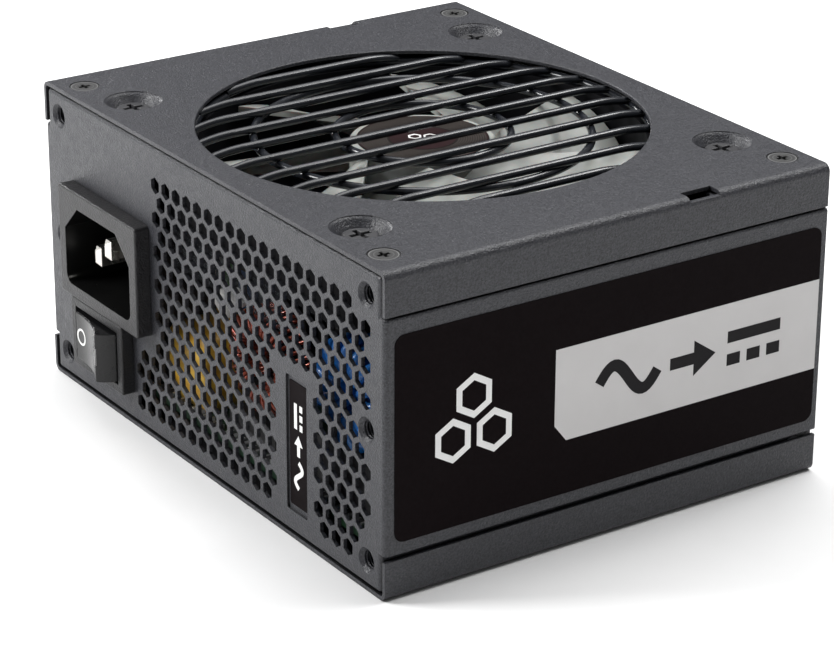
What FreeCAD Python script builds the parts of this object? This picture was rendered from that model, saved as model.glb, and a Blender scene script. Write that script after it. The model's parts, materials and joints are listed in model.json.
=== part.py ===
"""Small form factor modular power supply: folded steel case, fan, inlet, switch and boards.

Frame: +X runs along the 125 mm width, +Y goes from the vent wall to the connector panel and
+Z is up, with the origin in the middle of the base. Sizes are millimetres.
"""

import FreeCAD, Part
import math
import os
import Sketcher
from FreeCAD import Placement, Rotation, Vector

DIMENSIONS = {
    # case
    "case_width": 125, "case_depth": 100, "case_height": 63.5, "gauge": 0.8, "bend": 0.8, "frame_bend": 0.3,
    "cover_skirt": 8.4, "tray_skirt": 7.8,
    "fan_opening_radius": 44.25, "fan_screw_place": 41.25,
    "dimple_radius": 5.75, "dimple_floor_radius": 3.9, "dimple_depth": 2.6, "dimple_hole": 2.4,
    "corner_screw_x": 54.5, "corner_screw_y": 45,
    "dimple_round": 1.37, "dimple_rim": 0.63, "dimple_lip": 0.5, "dimple_lip_depth": 0.6,
    "notch_x": 59.1, "notch_start": 16.8, "notch_end": 23.8, "notch_depth": 0.9, "opening_round": 0.25,
    # folded middle frame
    "belt_half": 61.2, "belt_low": 1.2, "belt_high": 62.3, "panel_low": 8.7, "panel_high": 54.7,
    "shoulder_round": 0.6, "lip_y": 48.2, "lip_x": 58.8, "tab_x": 49.5, "tab_y": 40.5, "bite_radius": 3,
    "mount_x": 56.5, "mount_low": 6, "mount_mid": 31.75, "mount_high": 57.5,
    "mount_hole": 1.8, "mount_collar": 2.9, "mount_collar_length": 1.6, "mount_flare": 0.75,
    "badge_left": 29.5, "badge_right": 36.6, "badge_low": 5.6, "badge_high": 33,
    "badge_depth": 0.45, "badge_margin": 0.7, "badge_round": 0.6, "badge_back_round": 1.2,
    # hexagonal vent
    "hex_flats": 3.0, "hex_pitch": 4.0, "hex_mid_z": 30.4, "hex_odd_x": 0.4,
    "vent_left": -18.1, "vent_left_low": -26.1, "vent_right": 57.1, "vent_step_z": 18.5,
    "vent_badge_left": 25, "vent_badge_right": 40, "vent_badge_high": 36, "vent_hole_gap": 4,
    # connector panel
    "rear_half": 60.2, "rear_low": 2.2, "rear_high": 61.3, "rear_flange_y": 40,
    "rear_lip_x": 58, "rear_lip_y": 47.4,
    "rivet_y": 45.5, "rivet_low": 5.6, "rivet_high": 58, "rivet_radius": 1.5, "rivet_head": 2.3,
    "rivet_head_height": 0.4, "rivet_tail": 0.8,
    # screws
    "corner_head": 3.0, "corner_rim": 0.2, "corner_shank": 1.5, "corner_length": 5.4, "corner_sink": 0.1,
    "fan_head": 3.5, "fan_head_height": 1.2, "fan_shank": 2.1, "fan_screw_length": 11,
    "corner_cross": 1.25, "corner_slot": 0.4, "fan_cross": 2.2, "fan_slot": 0.55, "cross_depth": 1.0,
    "seat_play": 0.05, "fan_head_round": 0.7,
    # labels
    "label_thick": 0.15, "label_round": 2, "badge_label_round": 0.4, "label_start": -48, "label_end": 48.8,
    "label_low": 11.3, "label_high": 51.4,
    "badge_label_left": 30.2, "badge_label_right": 36.2, "badge_label_low": 6.8, "badge_label_high": 32,
    # fan
    "fan_size": 92.5, "fan_thick": 15, "fan_duct": 43.8, "fan_corner": 4, "fan_hole": 2.1,
    "hub_radius": 14.4, "hub_wall": 1, "hub_drop": 0.3, "hub_height": 11.3,
    "blade_tip": 42.6, "blade_thick": 1.3, "motor_plate": 14.2, "motor_plate_thick": 2, "strut": 3.6,
    "strut_height": 2.4, "tube_height": 11.1, "hub_roof": 1.4, "boss_radius": 3.2,
    "blade_root_x": 4, "blade_root_back": -12.7, "blade_root_front": -9.6, "blade_root_camber": 12,
    "blade_tip_back": -6, "blade_tip_front": 21.9, "blade_tip_camber": 70, "blade_drop": 0.8,
    "hub_round": 0.5, "rotor_turn": 27.6,
    "tube_radius": 4, "bearing_radius": 2.9, "shaft_radius": 1.5, "shaft_play": 0.04,
    "stator_radius": 11.6, "stator_height": 6, "magnet_wall": 1.4,
    "magnet_height": 8, "magnet_drop": 0.6, "sticker_radius": 13, "sticker_thick": 0.12,
    "bore_floor": 1, "sleeve_floor": 1.5, "shaft_floor": 1.8, "stator_gap": 0.6, "slot_radius": 2.4,
    "boss_gap": 0.4, "blade_low": 1.5, "blade_extra": 1.4,
    # wire grille
    "wire": 0.8, "bar_spacing": 8, "bar_z": 62.55, "bar_drop": 1, "bar_run": 8.5,
    "ring_outer": 45, "ring_middle": 33, "ring_inner": 17.2, "ring_z": 61.05, "ring_outer_z": 60.95,
    # mains inlet
    "inlet_left": -52.2, "inlet_right": -20.6, "inlet_low": 22.2, "inlet_high": 45.3,
    "inlet_front": -53.2, "inlet_back": -34.5, "inlet_body_margin": 1.3,
    "cavity_left": -49.5, "cavity_right": -23.3, "cavity_low": 24.9, "cavity_high": 41.9,
    "cavity_floor": -36.5, "cavity_chamfer": 5.3, "inlet_corner": 0.7,
    "inlet_round": 0.4, "cavity_round": 2, "body_play": 0.1, "blade_tip_slope": 0.8,
    "blade_x": -36.3, "blade_spread": 7, "blade_z": 31.4, "earth_rise": 4, "blade_wide": 2,
    "blade_tall": 4, "earth_front": -51.3, "line_front": -49.8, "blade_back": -28,
    # rocker switch
    "switch_left": -49.2, "switch_right": -28.4, "switch_low": 7, "switch_high": 21.9,
    "switch_front": -52.7, "switch_back": -38.5, "switch_open_half": 8.6, "switch_open_low": 8.8,
    "switch_open_high": 20.1, "switch_floor": -42.5, "switch_body_margin": 0.8,
    "rocker_low": 9.1, "rocker_high": 19.4, "rocker_pivot_x": -38.8, "rocker_ridge_x": 6.4,
    "rocker_ridge_y": 4.8, "rocker_valley": 3.9, "rocker_back": 3, "rocker_tilt": -12,
    "pivot_radius": 1.5, "pivot_play": 0.05, "pivot_end": 0.7, "pivot_overlap": 0.5,
    "switch_corner": 0.6, "switch_round": 0.35, "rocker_round": 0.3,
    "lead_radius": 1.3, "lead_bend": 3, "lead_run": 1.5,
    "terminal_wide": 0.8, "terminal_tall": 4.8, "terminal_back": -31,
    "terminal_inset": 2.4, "terminal_step": 6, "terminal_grip": 0.4,
    # boards
    "board_low": 5.9, "board_thick": 1.6, "board_half_x": 57.5, "board_half_y": 46,
    "board_round": 1, "sheet_thick": 0.25, "sheet_play": 0.2, "sheet_tab": 4,
    "standoff_radius": 2.5, "standoff_x": 52, "standoff_y": 31,
    "board_screw": 1.5, "board_screw_head": 2.6, "board_screw_top": 2, "board_screw_rim": 1,
    "board_screw_height": 1.6, "board_screw_start": 1,
    "baffle_thick": 0.3, "baffle_gap": 0.1, "baffle_half": 44, "baffle_front": -46, "baffle_back": -26,
    "apron_left": -18, "apron_right": 22, "apron_low": 37.5,
    "modular_half": 54, "modular_high": 44, "modular_front": 34.4,
    # modular sockets
    "cell_pitch": 4.2, "cell_half": 1.65, "socket_edge": 0.6, "pin_tail": 1.5,
    "socket_front": 50.9, "socket_floor": 39.2, "socket_play": 0.15, "pin_half": 0.5,
    "pin_front": 48.5, "row_low": 17, "row_high": 34,
    # round parts on the board
    "toroid_inset": 1.8, "toroid_gap": 1.1,
    "bulk_x": -34, "bulk_y": -3, "bulk_radius": 15, "bulk_height": 35, "bulk_round": 1.5,
    "can_x": -45, "can_y": 28.5, "can_step": 11, "can_radius": 4, "can_height": 12.5,
    "fin_start": -11, "fin_step": 6, "fin_thick": 1.5, "fin_front": -25, "fin_low": 19.5,
    "transistor_start": -11, "transistor_step": 11, "transistor_wide": 9,
    "case_round": 0.8,
}

# Square parts on the board: left, right, front and back faces, height above the board, top.
BLOCKS = {
    "x_capacitor": (-21.6, -6.8, -44.5, -30.5, 0, 27),
    "line_base": (-3, 14, -43, -34, 0, 12),
    "filter_base": (29, 47, -43, -33, 0, 18.5),
    "relay": (24, 36, -31, -21, 0, 23),
    "bridge_rectifier": (-56, -51.5, -14, 6, 0, 28),
    "heatsink_web": (-12, 20, -20, -17, 0, 42),
    "transistor": (-11, -2, -17, -12.5, 4.5, 28),
    "core_block": (-10, 22, -8, 14, 1, 33),
    "core_window": (-6, 18, -12, 19, 5.5, 29),
    "centre_leg": (1, 11, -8, 14, 5.5, 29),
    "coil": (-5.8, 17.8, -11.5, 17.5, 5.6, 28.9),
    "secondary_heatsink": (-46, 46, 20, 22, 0, 38),
    "control_board": (28, 52, 12, 13.6, 0, 34),
}
BLOCK_CELLS = ("left", "right", "front", "back", "lift", "high")

# Wound rings: axis, start and end along it, the two other coordinates of the centre, and the
# radii of the winding's bore, the core's bore, the core's outside and the winding's outside.
TOROIDS = {
    "line_choke": ("y", -43.2, -33.8, 5.5, 24, 4.6, 6.4, 10.1, 11.9),
    "filter_choke": ("y", -43.5, -32.5, 38, 29.6, 3.9, 5.7, 9.2, 11),
    "boost_choke": ("z", 8.5, 22, 40, -5, 5, 7, 11.5, 13.5),
}
TOROID_CELLS = ("start", "end", "across", "up", "bore", "core_bore", "core_out", "out")

for name, limits in BLOCKS.items():
    DIMENSIONS.update({f"{name}_{cell}": size for cell, size in zip(BLOCK_CELLS, limits)})
for name, (_, *sizes) in TOROIDS.items():
    DIMENSIONS.update({f"{name}_{cell}": size for cell, size in zip(TOROID_CELLS, sizes)})


class Size:
    """A length that knows its value and the sheet expression that gives it."""

    def __init__(self, value, text):
        self.value = value
        self.text = text

    def __add__(self, other):
        other = as_size(other)
        return Size(self.value + other.value, f"({self.text} + {other.text})")

    def __sub__(self, other):
        other = as_size(other)
        return Size(self.value - other.value, f"({self.text} - {other.text})")

    def __mul__(self, other):
        other = as_size(other)
        return Size(self.value * other.value, f"({self.text} * {other.text})")

    def __truediv__(self, other):
        other = as_size(other)
        return Size(self.value / other.value, f"({self.text} / {other.text})")

    def __neg__(self):
        return Size(-self.value, f"(0 - {self.text})")

    __radd__ = __add__
    __rmul__ = __mul__

    def __rsub__(self, other):
        return as_size(other) - self


def as_size(number):
    """Plain numbers join in as constants."""
    if isinstance(number, Size):
        return number
    return Size(float(number), f"({number:.6g})" if number < 0 else f"{number:.6g}")


def root(size):
    return Size(math.sqrt(size.value), f"sqrt({size.text})")


class Sheet:
    """The driving dimensions: D.case_width is the case_width cell as a Size."""

    def __init__(self, document, cells):
        self.cells = cells
        table = document.addObject("Spreadsheet::Sheet", "Dims")
        for row, (alias, number) in enumerate(cells.items(), start=1):
            table.set(f"A{row}", alias)
            table.set(f"B{row}", str(number))
            table.setAlias(f"B{row}", alias)

    def __getattr__(self, alias):
        return Size(float(self.cells[alias]), f"Dims.{alias}")


doc = FreeCAD.newDocument("power_supply")
D = Sheet(doc, DIMENSIONS)
doc.recompute()
nodes = []

HALF_X = D.case_width / 2
HALF_Y = D.case_depth / 2
TOP = D.case_height
BOARD_TOP = D.board_low + D.board_thick
FAN_TOP = TOP - D.dimple_depth - D.gauge
FAN_BOTTOM = FAN_TOP - D.fan_thick
OVER = 1  # how far a cutting tool runs past the face it opens


# ---------------------------------------------------------------- sketches and features

PLANE_SIGN = {"XY_Plane": 1, "XZ_Plane": -1, "YZ_Plane": 1}


def bind(thing, prop, size):
    """Tie a property to the sheet."""
    thing.setExpression(prop, as_size(size).text)


def origin_part(body, role):
    return next(part for part in body.Origin.OriginFeatures if part.Role == role)


def new_body(name):
    body = doc.addObject("PartDesign::Body", name)
    body.AllowCompound = True
    return body


def new_sketch(body, name, role, out=0, across=0, up=0):
    """A sketch parallel to one of the body's origin planes."""
    sketch = body.newObject("Sketcher::SketchObject", name)
    sketch.AttachmentSupport = [(origin_part(body, role), "")]
    sketch.MapMode = "FlatFace"
    for axis, shift in zip("xyz", (across, up, out)):
        if as_size(shift).value != 0:
            bind(sketch, f"AttachmentOffset.Base.{axis}", shift)
    return sketch


def pin(sketch, edge, end, x, y):
    """Hold one end of a sketch edge at a place worked out from the sheet."""
    for kind, size in (("DistanceX", as_size(x)), ("DistanceY", as_size(y))):
        index = sketch.addConstraint(Sketcher.Constraint(kind, -1, 1, edge, end, size.value))
        sketch.setExpression(f"Constraints[{index}]", size.text)


def hold_radius(sketch, edge, radius):
    index = sketch.addConstraint(Sketcher.Constraint("Radius", edge, as_size(radius).value))
    sketch.setExpression(f"Constraints[{index}]", as_size(radius).text)


def circle(sketch, x, y, radius):
    x, y, radius = as_size(x), as_size(y), as_size(radius)
    shape = Part.Circle(Vector(x.value, y.value, 0), Vector(0, 0, 1), radius.value)
    edge = sketch.addGeometry(shape, False)
    pin(sketch, edge, 3, x, y)
    hold_radius(sketch, edge, radius)


def arc_between(start, end, centre, radius):
    """The short counter-clockwise or clockwise arc, and which of its ends is the start."""
    first = math.atan2(start[1] - centre[1], start[0] - centre[0])
    last = math.atan2(end[1] - centre[1], end[0] - centre[0])
    ring = Part.Circle(Vector(centre[0], centre[1], 0), Vector(0, 0, 1), radius)
    if (last - first) % (2 * math.pi) < math.pi:
        return Part.ArcOfCircle(ring, first, last), 1, 2
    return Part.ArcOfCircle(ring, last, first), 2, 1


def trace(sketch, knots, closed=True):
    """Join knots (x, y, bulge): a straight run, or an arc of the given radius after the knot.

    A positive bulge radius puts the arc's centre on the left of the run, a negative one on the right.
    """
    ends = []
    count = len(knots)
    for i in range(count if closed else count - 1):
        x, y, bulge = knots[i]
        x_next, y_next, _ = knots[(i + 1) % count]
        x, y, x_next, y_next = (as_size(part) for part in (x, y, x_next, y_next))
        start, end = (x.value, y.value), (x_next.value, y_next.value)
        if bulge is None:
            line = Part.LineSegment(Vector(*start, 0), Vector(*end, 0))
            ends.append((sketch.addGeometry(line, False), 1, 2))
            continue
        radius = abs(as_size(bulge).value)
        run = math.dist(start, end)
        rise = math.sqrt(max(radius ** 2 - run ** 2 / 4, 0)) * math.copysign(1, as_size(bulge).value)
        left = ((start[1] - end[1]) / run, (end[0] - start[0]) / run)
        centre = [(start[k] + end[k]) / 2 + left[k] * rise for k in (0, 1)]
        arc, near, far = arc_between(start, end, centre, radius)
        ends.append((sketch.addGeometry(arc, False), near, far))
    for i, (edge, near, far) in enumerate(ends):
        pin(sketch, edge, near, knots[i][0], knots[i][1])
        if knots[i][2] is not None:
            positive = as_size(knots[i][2]).value > 0
            hold_radius(sketch, edge, knots[i][2] if positive else -as_size(knots[i][2]))
        if closed or i + 1 < len(ends):
            edge_next, near_next, _ = ends[(i + 1) % len(ends)]
            link = Sketcher.Constraint("Coincident", edge, far, edge_next, near_next)
            sketch.addConstraint(link)
        else:
            pin(sketch, edge, far, knots[i + 1][0], knots[i + 1][1])


def toward(here, there, step):
    """Step from one coordinate toward another, or stay when they agree."""
    if abs(here.value - there.value) < 1e-9:
        return here
    return here + step if there.value > here.value else here - step


def outline(sketch, corners):
    """A closed loop through (x, y) or (x, y, radius) corners; rounded ones join level and upright runs."""
    corners = [tuple(as_size(part) for part in corner) for corner in corners]
    knots = []
    for i, corner in enumerate(corners):
        before, after = corners[i - 1], corners[(i + 1) % len(corners)]
        if len(corner) == 2:
            knots.append((corner[0], corner[1], None))
            continue
        x, y, radius = corner
        enter = (toward(x, before[0], radius), toward(y, before[1], radius))
        leave = (toward(x, after[0], radius), toward(y, after[1], radius))
        turn = ((x.value - before[0].value) * (after[1].value - y.value)
                - (y.value - before[1].value) * (after[0].value - x.value))
        knots.append((*enter, radius if turn > 0 else -radius))
        knots.append((*leave, None))
    trace(sketch, knots)


def rectangle(sketch, x_low, x_high, y_low, y_high, radius=None):
    """An axis-aligned rectangle, with rounded corners if a radius is given."""
    places = [(x_low, y_low), (x_high, y_low), (x_high, y_high), (x_low, y_high)]
    outline(sketch, [place if radius is None else (*place, radius) for place in places])


def pad(body, name, role, start, end, draw):
    """Add a prism from one coordinate to another along the normal of the named plane."""
    sign = PLANE_SIGN[role]
    sketch = new_sketch(body, name + "_sketch", role, out=as_size(start) * sign)
    draw(sketch)
    feature = body.newObject("PartDesign::Pad", name)
    feature.Profile = sketch
    feature.Reversed = sign < 0
    bind(feature, "Length", as_size(end) - start)
    return feature


def pocket(body, name, role, start, end, draw):
    """Remove a prism between two coordinates along the normal of the named plane."""
    sign = PLANE_SIGN[role]
    sketch = new_sketch(body, name + "_sketch", role, out=as_size(start) * sign)
    draw(sketch)
    feature = body.newObject("PartDesign::Pocket", name)
    feature.Profile = sketch
    feature.Reversed = sign > 0
    bind(feature, "Length", as_size(end) - start)
    return feature


def turn(body, name, kind, x, y, draw):
    """Revolve a half section about an upright axis through (x, y)."""
    sketch = new_sketch(body, name + "_sketch", "XZ_Plane", across=x, out=-as_size(y))
    draw(sketch)
    feature = body.newObject(kind, name)
    feature.Profile = sketch
    feature.ReferenceAxis = (sketch, ["V_Axis"])
    feature.Angle = 360
    return feature


def all_corners(body, name, originals):
    """Repeat features at all four corners, by mirroring about both upright mid planes."""
    feature = body.newObject("PartDesign::MultiTransform", name)
    feature.Originals = originals
    mirrors = []
    for role in ("YZ_Plane", "XZ_Plane"):
        mirror = body.newObject("PartDesign::Mirrored", f"{name}_{role}")
        mirror.MirrorPlane = (origin_part(body, role), [""])
        mirrors.append(mirror)
    feature.Transformations = mirrors
    body.Tip = feature
    return feature


def around(body, name, originals, count):
    """Repeat features in a full circle about the upright axis."""
    feature = body.newObject("PartDesign::PolarPattern", name)
    feature.Originals = originals
    feature.Axis = (origin_part(body, "Z_Axis"), [""])
    feature.Angle = 360
    feature.Occurrences = count
    body.Tip = feature
    return feature


def soften(body, name, kind, prop, size, chosen):
    """Fillet or chamfer the edges of the body's tip that pass the test."""
    doc.recompute()
    base = body.Tip
    edges = [f"Edge{i}" for i, edge in enumerate(base.Shape.Edges, start=1) if chosen(edge)]
    feature = body.newObject(kind, name)
    feature.Base = (base, edges)
    bind(feature, prop, size)
    return feature


def fillet(body, name, radius, chosen):
    return soften(body, name, "PartDesign::Fillet", "Radius", radius, chosen)


def chamfer(body, name, size, chosen):
    return soften(body, name, "PartDesign::Chamfer", "Size", size, chosen)


def near(value, size):
    return abs(value - as_size(size).value) < 1e-4


def edge_at(x=None, y=None, z=None):
    """A test for edges that lie wholly at the given coordinates."""
    def chosen(edge):
        box = edge.BoundBox
        spans = ((x, box.XMin, box.XMax), (y, box.YMin, box.YMax), (z, box.ZMin, box.ZMax))
        return all(want is None or (near(low, want) and near(high, want)) for want, low, high in spans)
    return chosen


# ---------------------------------------------------------------- primitives and booleans

def set_place(thing, x, y, z, rotation=Rotation()):
    thing.Placement = Placement(Vector(0, 0, 0), rotation)
    for axis, size in zip("xyz", (x, y, z)):
        bind(thing, f"Placement.Base.{axis}", size)


def box(name, x_low, x_high, y_low, y_high, z_low, z_high):
    thing = doc.addObject("Part::Box", name)
    bind(thing, "Length", as_size(x_high) - x_low)
    bind(thing, "Width", as_size(y_high) - y_low)
    bind(thing, "Height", as_size(z_high) - z_low)
    set_place(thing, x_low, y_low, z_low)
    return thing


def block_limits(name):
    """The six faces of a square part that stands on the board or a little above it."""
    left, right, front, back, lift, high = (getattr(D, f"{name}_{cell}") for cell in BLOCK_CELLS)
    return left, right, front, back, BOARD_TOP + lift, high


def block(name):
    return box(name, *block_limits(name))


AXIS_TURN = {
    "x": Rotation(Vector(0, 1, 0), 90),
    "y": Rotation(Vector(1, 0, 0), -90),
    "z": Rotation(),
}


def cylinder(name, radius, start, end, axis="z", across=0, up=0):
    """A cylinder along an axis; across and up are its two other coordinates in x, y, z order."""
    thing = doc.addObject("Part::Cylinder", name)
    bind(thing, "Radius", radius)
    bind(thing, "Height", as_size(end) - start)
    places = {"x": (start, across, up), "y": (across, start, up), "z": (across, up, start)}
    set_place(thing, *places[axis], AXIS_TURN[axis])
    return thing


def cut(name, base, *tools):
    thing = doc.addObject("Part::Cut", name)
    thing.Base = base
    thing.Tool = tools[0] if len(tools) == 1 else group(name + "_tools", *tools)
    return thing


def fuse(name, *shapes):
    thing = doc.addObject("Part::MultiFuse", name)
    thing.Shapes = list(shapes)
    return thing


def group(name, *shapes):
    """Several separate solids under one name."""
    thing = doc.addObject("Part::Compound", name)
    thing.Links = list(shapes)
    return thing


def node(thing, name):
    """Mark a finished sub-part: its label names its file."""
    thing.Label = name
    nodes.append(thing)
    return thing


# ---------------------------------------------------------------- case

def from_top(depth):
    return TOP - depth


def from_base(depth):
    return as_size(depth)


def channel(sketch, level, skirt):
    """Folded channel section: a flat web with a skirt down each side."""
    outer, inner = D.bend + D.gauge, D.bend
    outline(sketch, [
        (-HALF_X, level(skirt)), (-HALF_X, level(0), outer),
        (HALF_X, level(0), outer), (HALF_X, level(skirt)),
        (HALF_X - D.gauge, level(skirt)), (HALF_X - D.gauge, level(D.gauge), inner),
        (D.gauge - HALF_X, level(D.gauge), inner), (D.gauge - HALF_X, level(skirt)),
    ])


def flat_head(sketch, level, play=0):
    """Half section of a countersunk screw, or with play its seat, which is open above."""
    top = D.corner_sink if play == 0 else as_size(-OVER)
    rim = D.corner_sink + D.corner_rim
    trace(sketch, [(x, y, None) for x, y in (
        (0, level(top)), (D.corner_head + play, level(top)), (D.corner_head + play, level(rim)),
        (D.corner_shank, level(rim + D.corner_head - D.corner_shank + play)),
        (D.corner_shank, level(D.corner_length)), (0, level(D.corner_length)),
    )])


def screw_seats(body, name, level):
    """Countersunk seats for the four corner screws."""
    seat = turn(body, name, "PartDesign::Groove", D.corner_screw_x, D.corner_screw_y,
                lambda sketch: flat_head(sketch, level, play=D.seat_play))
    all_corners(body, name + "_corners", [seat])


def cross(sketch, x, y, arm, slot):
    """Outline of a cross recess."""
    quarter = [(arm, slot), (slot, slot), (slot, arm)]
    places = []
    for turns in range(4):
        for across, up in quarter:
            for _ in range(turns):
                across, up = -up, across
            places.append((x + across, y + up))
    outline(sketch, places)


def make_top_cover():
    body = new_body("top_cover")
    pad(body, "cover_channel", "XZ_Plane", -HALF_Y, HALF_Y,
        lambda sketch: channel(sketch, from_top, D.cover_skirt))
    pocket(body, "fan_opening", "XY_Plane", TOP - D.gauge - OVER, TOP + OVER,
           lambda sketch: circle(sketch, 0, 0, D.fan_opening_radius))
    fillet(body, "fan_opening_edge", D.opening_round,
           lambda edge: near(edge.Length, 2 * math.pi * D.fan_opening_radius.value)
           and near(edge.BoundBox.ZMin, TOP))
    place = D.fan_screw_place
    hole = turn(body, "dimple_hole", "PartDesign::Groove", place, place,
                lambda sketch: rectangle(sketch, 0, D.dimple_radius, TOP - D.gauge - OVER, TOP + OVER))
    floor = D.dimple_depth
    wall_foot = D.dimple_floor_radius + D.dimple_rim
    shell = turn(body, "dimple_shell", "PartDesign::Revolution", place, place,
                 lambda sketch: trace(sketch, [
                     (D.dimple_radius + D.gauge, TOP, None),
                     (D.dimple_radius + D.dimple_rim, TOP, D.dimple_round),
                     (D.dimple_radius - D.dimple_lip, TOP - D.dimple_lip_depth, None),
                     (D.dimple_floor_radius, TOP - floor, None),
                     (D.dimple_hole, TOP - floor, None), (D.dimple_hole, TOP - floor - D.gauge, None),
                     (wall_foot, TOP - floor - D.gauge, None),
                     (D.dimple_radius + D.gauge, TOP - D.gauge, None),
                 ]))
    all_corners(body, "dimples", [hole, shell])
    screw_seats(body, "cover_seat", from_top)

    def notches(sketch):
        for side in (-1, 1):
            rectangle(sketch, side * D.notch_x, side * (HALF_X + OVER), D.notch_start, D.notch_end)
    pocket(body, "side_notches", "XY_Plane", TOP - D.notch_depth, TOP + OVER, notches)
    return node(body, "top_cover")


def make_bottom_tray():
    body = new_body("bottom_tray")
    pad(body, "tray_channel", "XZ_Plane", -HALF_Y, HALF_Y,
        lambda sketch: channel(sketch, from_base, D.tray_skirt))
    screw_seats(body, "tray_seat", from_base)
    return node(body, "bottom_tray")


def belt(sketch, half, back, radius):
    """Plan of the folded frame: rounded at the vent wall, square at the open rear end."""
    outline(sketch, [(-half, HALF_Y), (-half, back, radius), (half, back, radius), (half, HALF_Y)])


def mount_holes():
    """Places of the six tapped holes in the vent wall, as (x, z)."""
    for x in (-D.mount_x, D.mount_x):
        for z in (D.mount_low, D.mount_mid, D.mount_high):
            yield x, z


def vent_places():
    """Centres of the vent hexagons: staggered rows, clear of the holes, badge, inlet and switch."""
    pitch = D.hex_pitch.value
    for row in range(-7, 8):
        z = D.hex_mid_z.value + row * pitch * math.sqrt(3) / 2
        start = D.hex_odd_x.value + (pitch / 2 if row % 2 else 0)
        left = D.vent_left.value if z > D.vent_step_z.value else D.vent_left_low.value
        for column in range(-7, 16):
            x = start + column * pitch
            holes = min(math.hypot(x - across.value, z - up.value) for across, up in mount_holes())
            by_badge = (D.vent_badge_left.value < x < D.vent_badge_right.value
                        and z < D.vent_badge_high.value)
            if left < x < D.vent_right.value and holes > D.vent_hole_gap.value and not by_badge:
                yield x, z


def make_vent_cutter():
    """One bound hexagonal prism, copied over the vent."""
    prism = doc.addObject("Part::Prism", "vent_hexagon")
    prism.Polygon = 6
    bind(prism, "Circumradius", D.hex_flats / root(as_size(3)))
    bind(prism, "Height", D.gauge + 2 * OVER)
    set_place(prism, 0, -HALF_Y - OVER, 0, Rotation(Vector(1, 1, 1), 240))
    doc.recompute()
    cutter = doc.addObject("Part::Feature", "vent_cutter")
    hexagons = [prism.Shape.translated(Vector(x, 0, z)) for x, z in vent_places()]
    cutter.Shape = Part.makeCompound(hexagons)
    return cutter


def make_main_frame():
    body = new_body("main_frame_body")
    wall = D.gauge - HALF_Y
    inner_half = D.belt_half - D.gauge
    panel_inner = HALF_X - D.gauge
    outer, inner = D.frame_bend + D.gauge, D.frame_bend
    pad(body, "side_panels", "XY_Plane", D.panel_low, D.panel_high,
        lambda sketch: belt(sketch, HALF_X, -HALF_Y, outer))
    fillet(body, "shoulders", D.shoulder_round, lambda edge: not near(edge.BoundBox.YMin, HALF_Y)
           and (edge_at(z=D.panel_low)(edge) or edge_at(z=D.panel_high)(edge)))
    pad(body, "belt", "XY_Plane", D.belt_low, D.belt_high,
        lambda sketch: belt(sketch, D.belt_half, -HALF_Y, outer))
    fillet(body, "rolled_edges", D.bend, lambda edge: edge.BoundBox.YMax < HALF_Y.value - 0.01
           and (edge_at(z=D.belt_low)(edge) or edge_at(z=D.belt_high)(edge)))
    pocket(body, "belt_inside", "XY_Plane", D.belt_low + D.gauge, D.belt_high - D.gauge,
           lambda sketch: belt(sketch, inner_half, wall, inner))
    pocket(body, "panel_inside", "XY_Plane", D.panel_low + D.gauge, D.panel_high - D.gauge,
           lambda sketch: belt(sketch, panel_inner, wall, inner))

    def lips(sketch):
        tab, lip, rear = D.tab_x, D.lip_x, HALF_Y + OVER
        outline(sketch, [
            (-tab, -D.lip_y), (tab, -D.lip_y), (tab, -D.tab_y), (lip, -D.tab_y), (lip, D.tab_y),
            (tab, D.tab_y), (tab, rear), (-tab, rear), (-tab, D.tab_y),
            (-lip, D.tab_y), (-lip, -D.tab_y), (-tab, -D.tab_y),
        ])
    pocket(body, "lip_opening", "XY_Plane", 0, TOP, lips)

    def bites(sketch):
        for side in (-1, 1):
            circle(sketch, side * D.lip_x, (D.notch_start + D.notch_end) / 2, D.bite_radius)
    pocket(body, "lip_bites", "XY_Plane", D.belt_high - D.gauge - OVER, TOP, bites)
    screw_seats(body, "upper_tab", from_top)
    screw_seats(body, "lower_tab", from_base)

    def rivet_holes(sketch):
        for z in (D.rivet_low, D.rivet_high):
            circle(sketch, D.rivet_y, z, D.rivet_radius)
    pocket(body, "rivet_holes", "YZ_Plane", -HALF_X, HALF_X, rivet_holes)

    def at_mounts(radius):
        def draw(sketch):
            for x, z in mount_holes():
                circle(sketch, x, z, radius)
        return draw
    pad(body, "mount_collars", "XZ_Plane", -HALF_Y + D.gauge / 2, wall + D.mount_collar_length,
        at_mounts(D.mount_collar))
    pocket(body, "mount_bores", "XZ_Plane", -HALF_Y - OVER, wall + D.mount_collar_length + OVER,
           at_mounts(D.mount_hole))
    chamfer(body, "mount_flares", D.mount_flare,
            lambda edge: near(edge.Length, 2 * math.pi * D.mount_hole.value)
            and near(edge.BoundBox.YMin, -HALF_Y) and near(edge.BoundBox.YMax, -HALF_Y))
    pad(body, "badge_back", "XZ_Plane", wall - D.gauge / 4, wall + D.badge_depth,
        lambda sketch: rectangle(sketch, D.badge_left - D.badge_margin, D.badge_right + D.badge_margin,
                                 D.badge_low - D.badge_margin, D.badge_high + D.badge_margin,
                                 D.badge_back_round))
    pocket(body, "badge_recess", "XZ_Plane", -HALF_Y - OVER, -HALF_Y + D.badge_depth,
           lambda sketch: rectangle(sketch, D.badge_left, D.badge_right, D.badge_low, D.badge_high,
                                    D.badge_round))
    margin = D.inlet_body_margin + D.body_play
    pocket(body, "inlet_cutout", "XZ_Plane", -HALF_Y - OVER, wall + OVER,
           lambda sketch: rectangle(sketch, D.cavity_left - margin, D.cavity_right + margin,
                                    D.cavity_low - margin, D.cavity_high + margin))
    margin = D.switch_body_margin + D.body_play
    reach = D.switch_open_half + margin
    pocket(body, "switch_cutout", "XZ_Plane", -HALF_Y - OVER, wall + OVER,
           lambda sketch: rectangle(sketch, D.rocker_pivot_x - reach, D.rocker_pivot_x + reach,
                                    D.switch_open_low - margin, D.switch_open_high + margin))
    return node(cut("main_frame", body, make_vent_cutter()), "main_frame")


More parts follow.
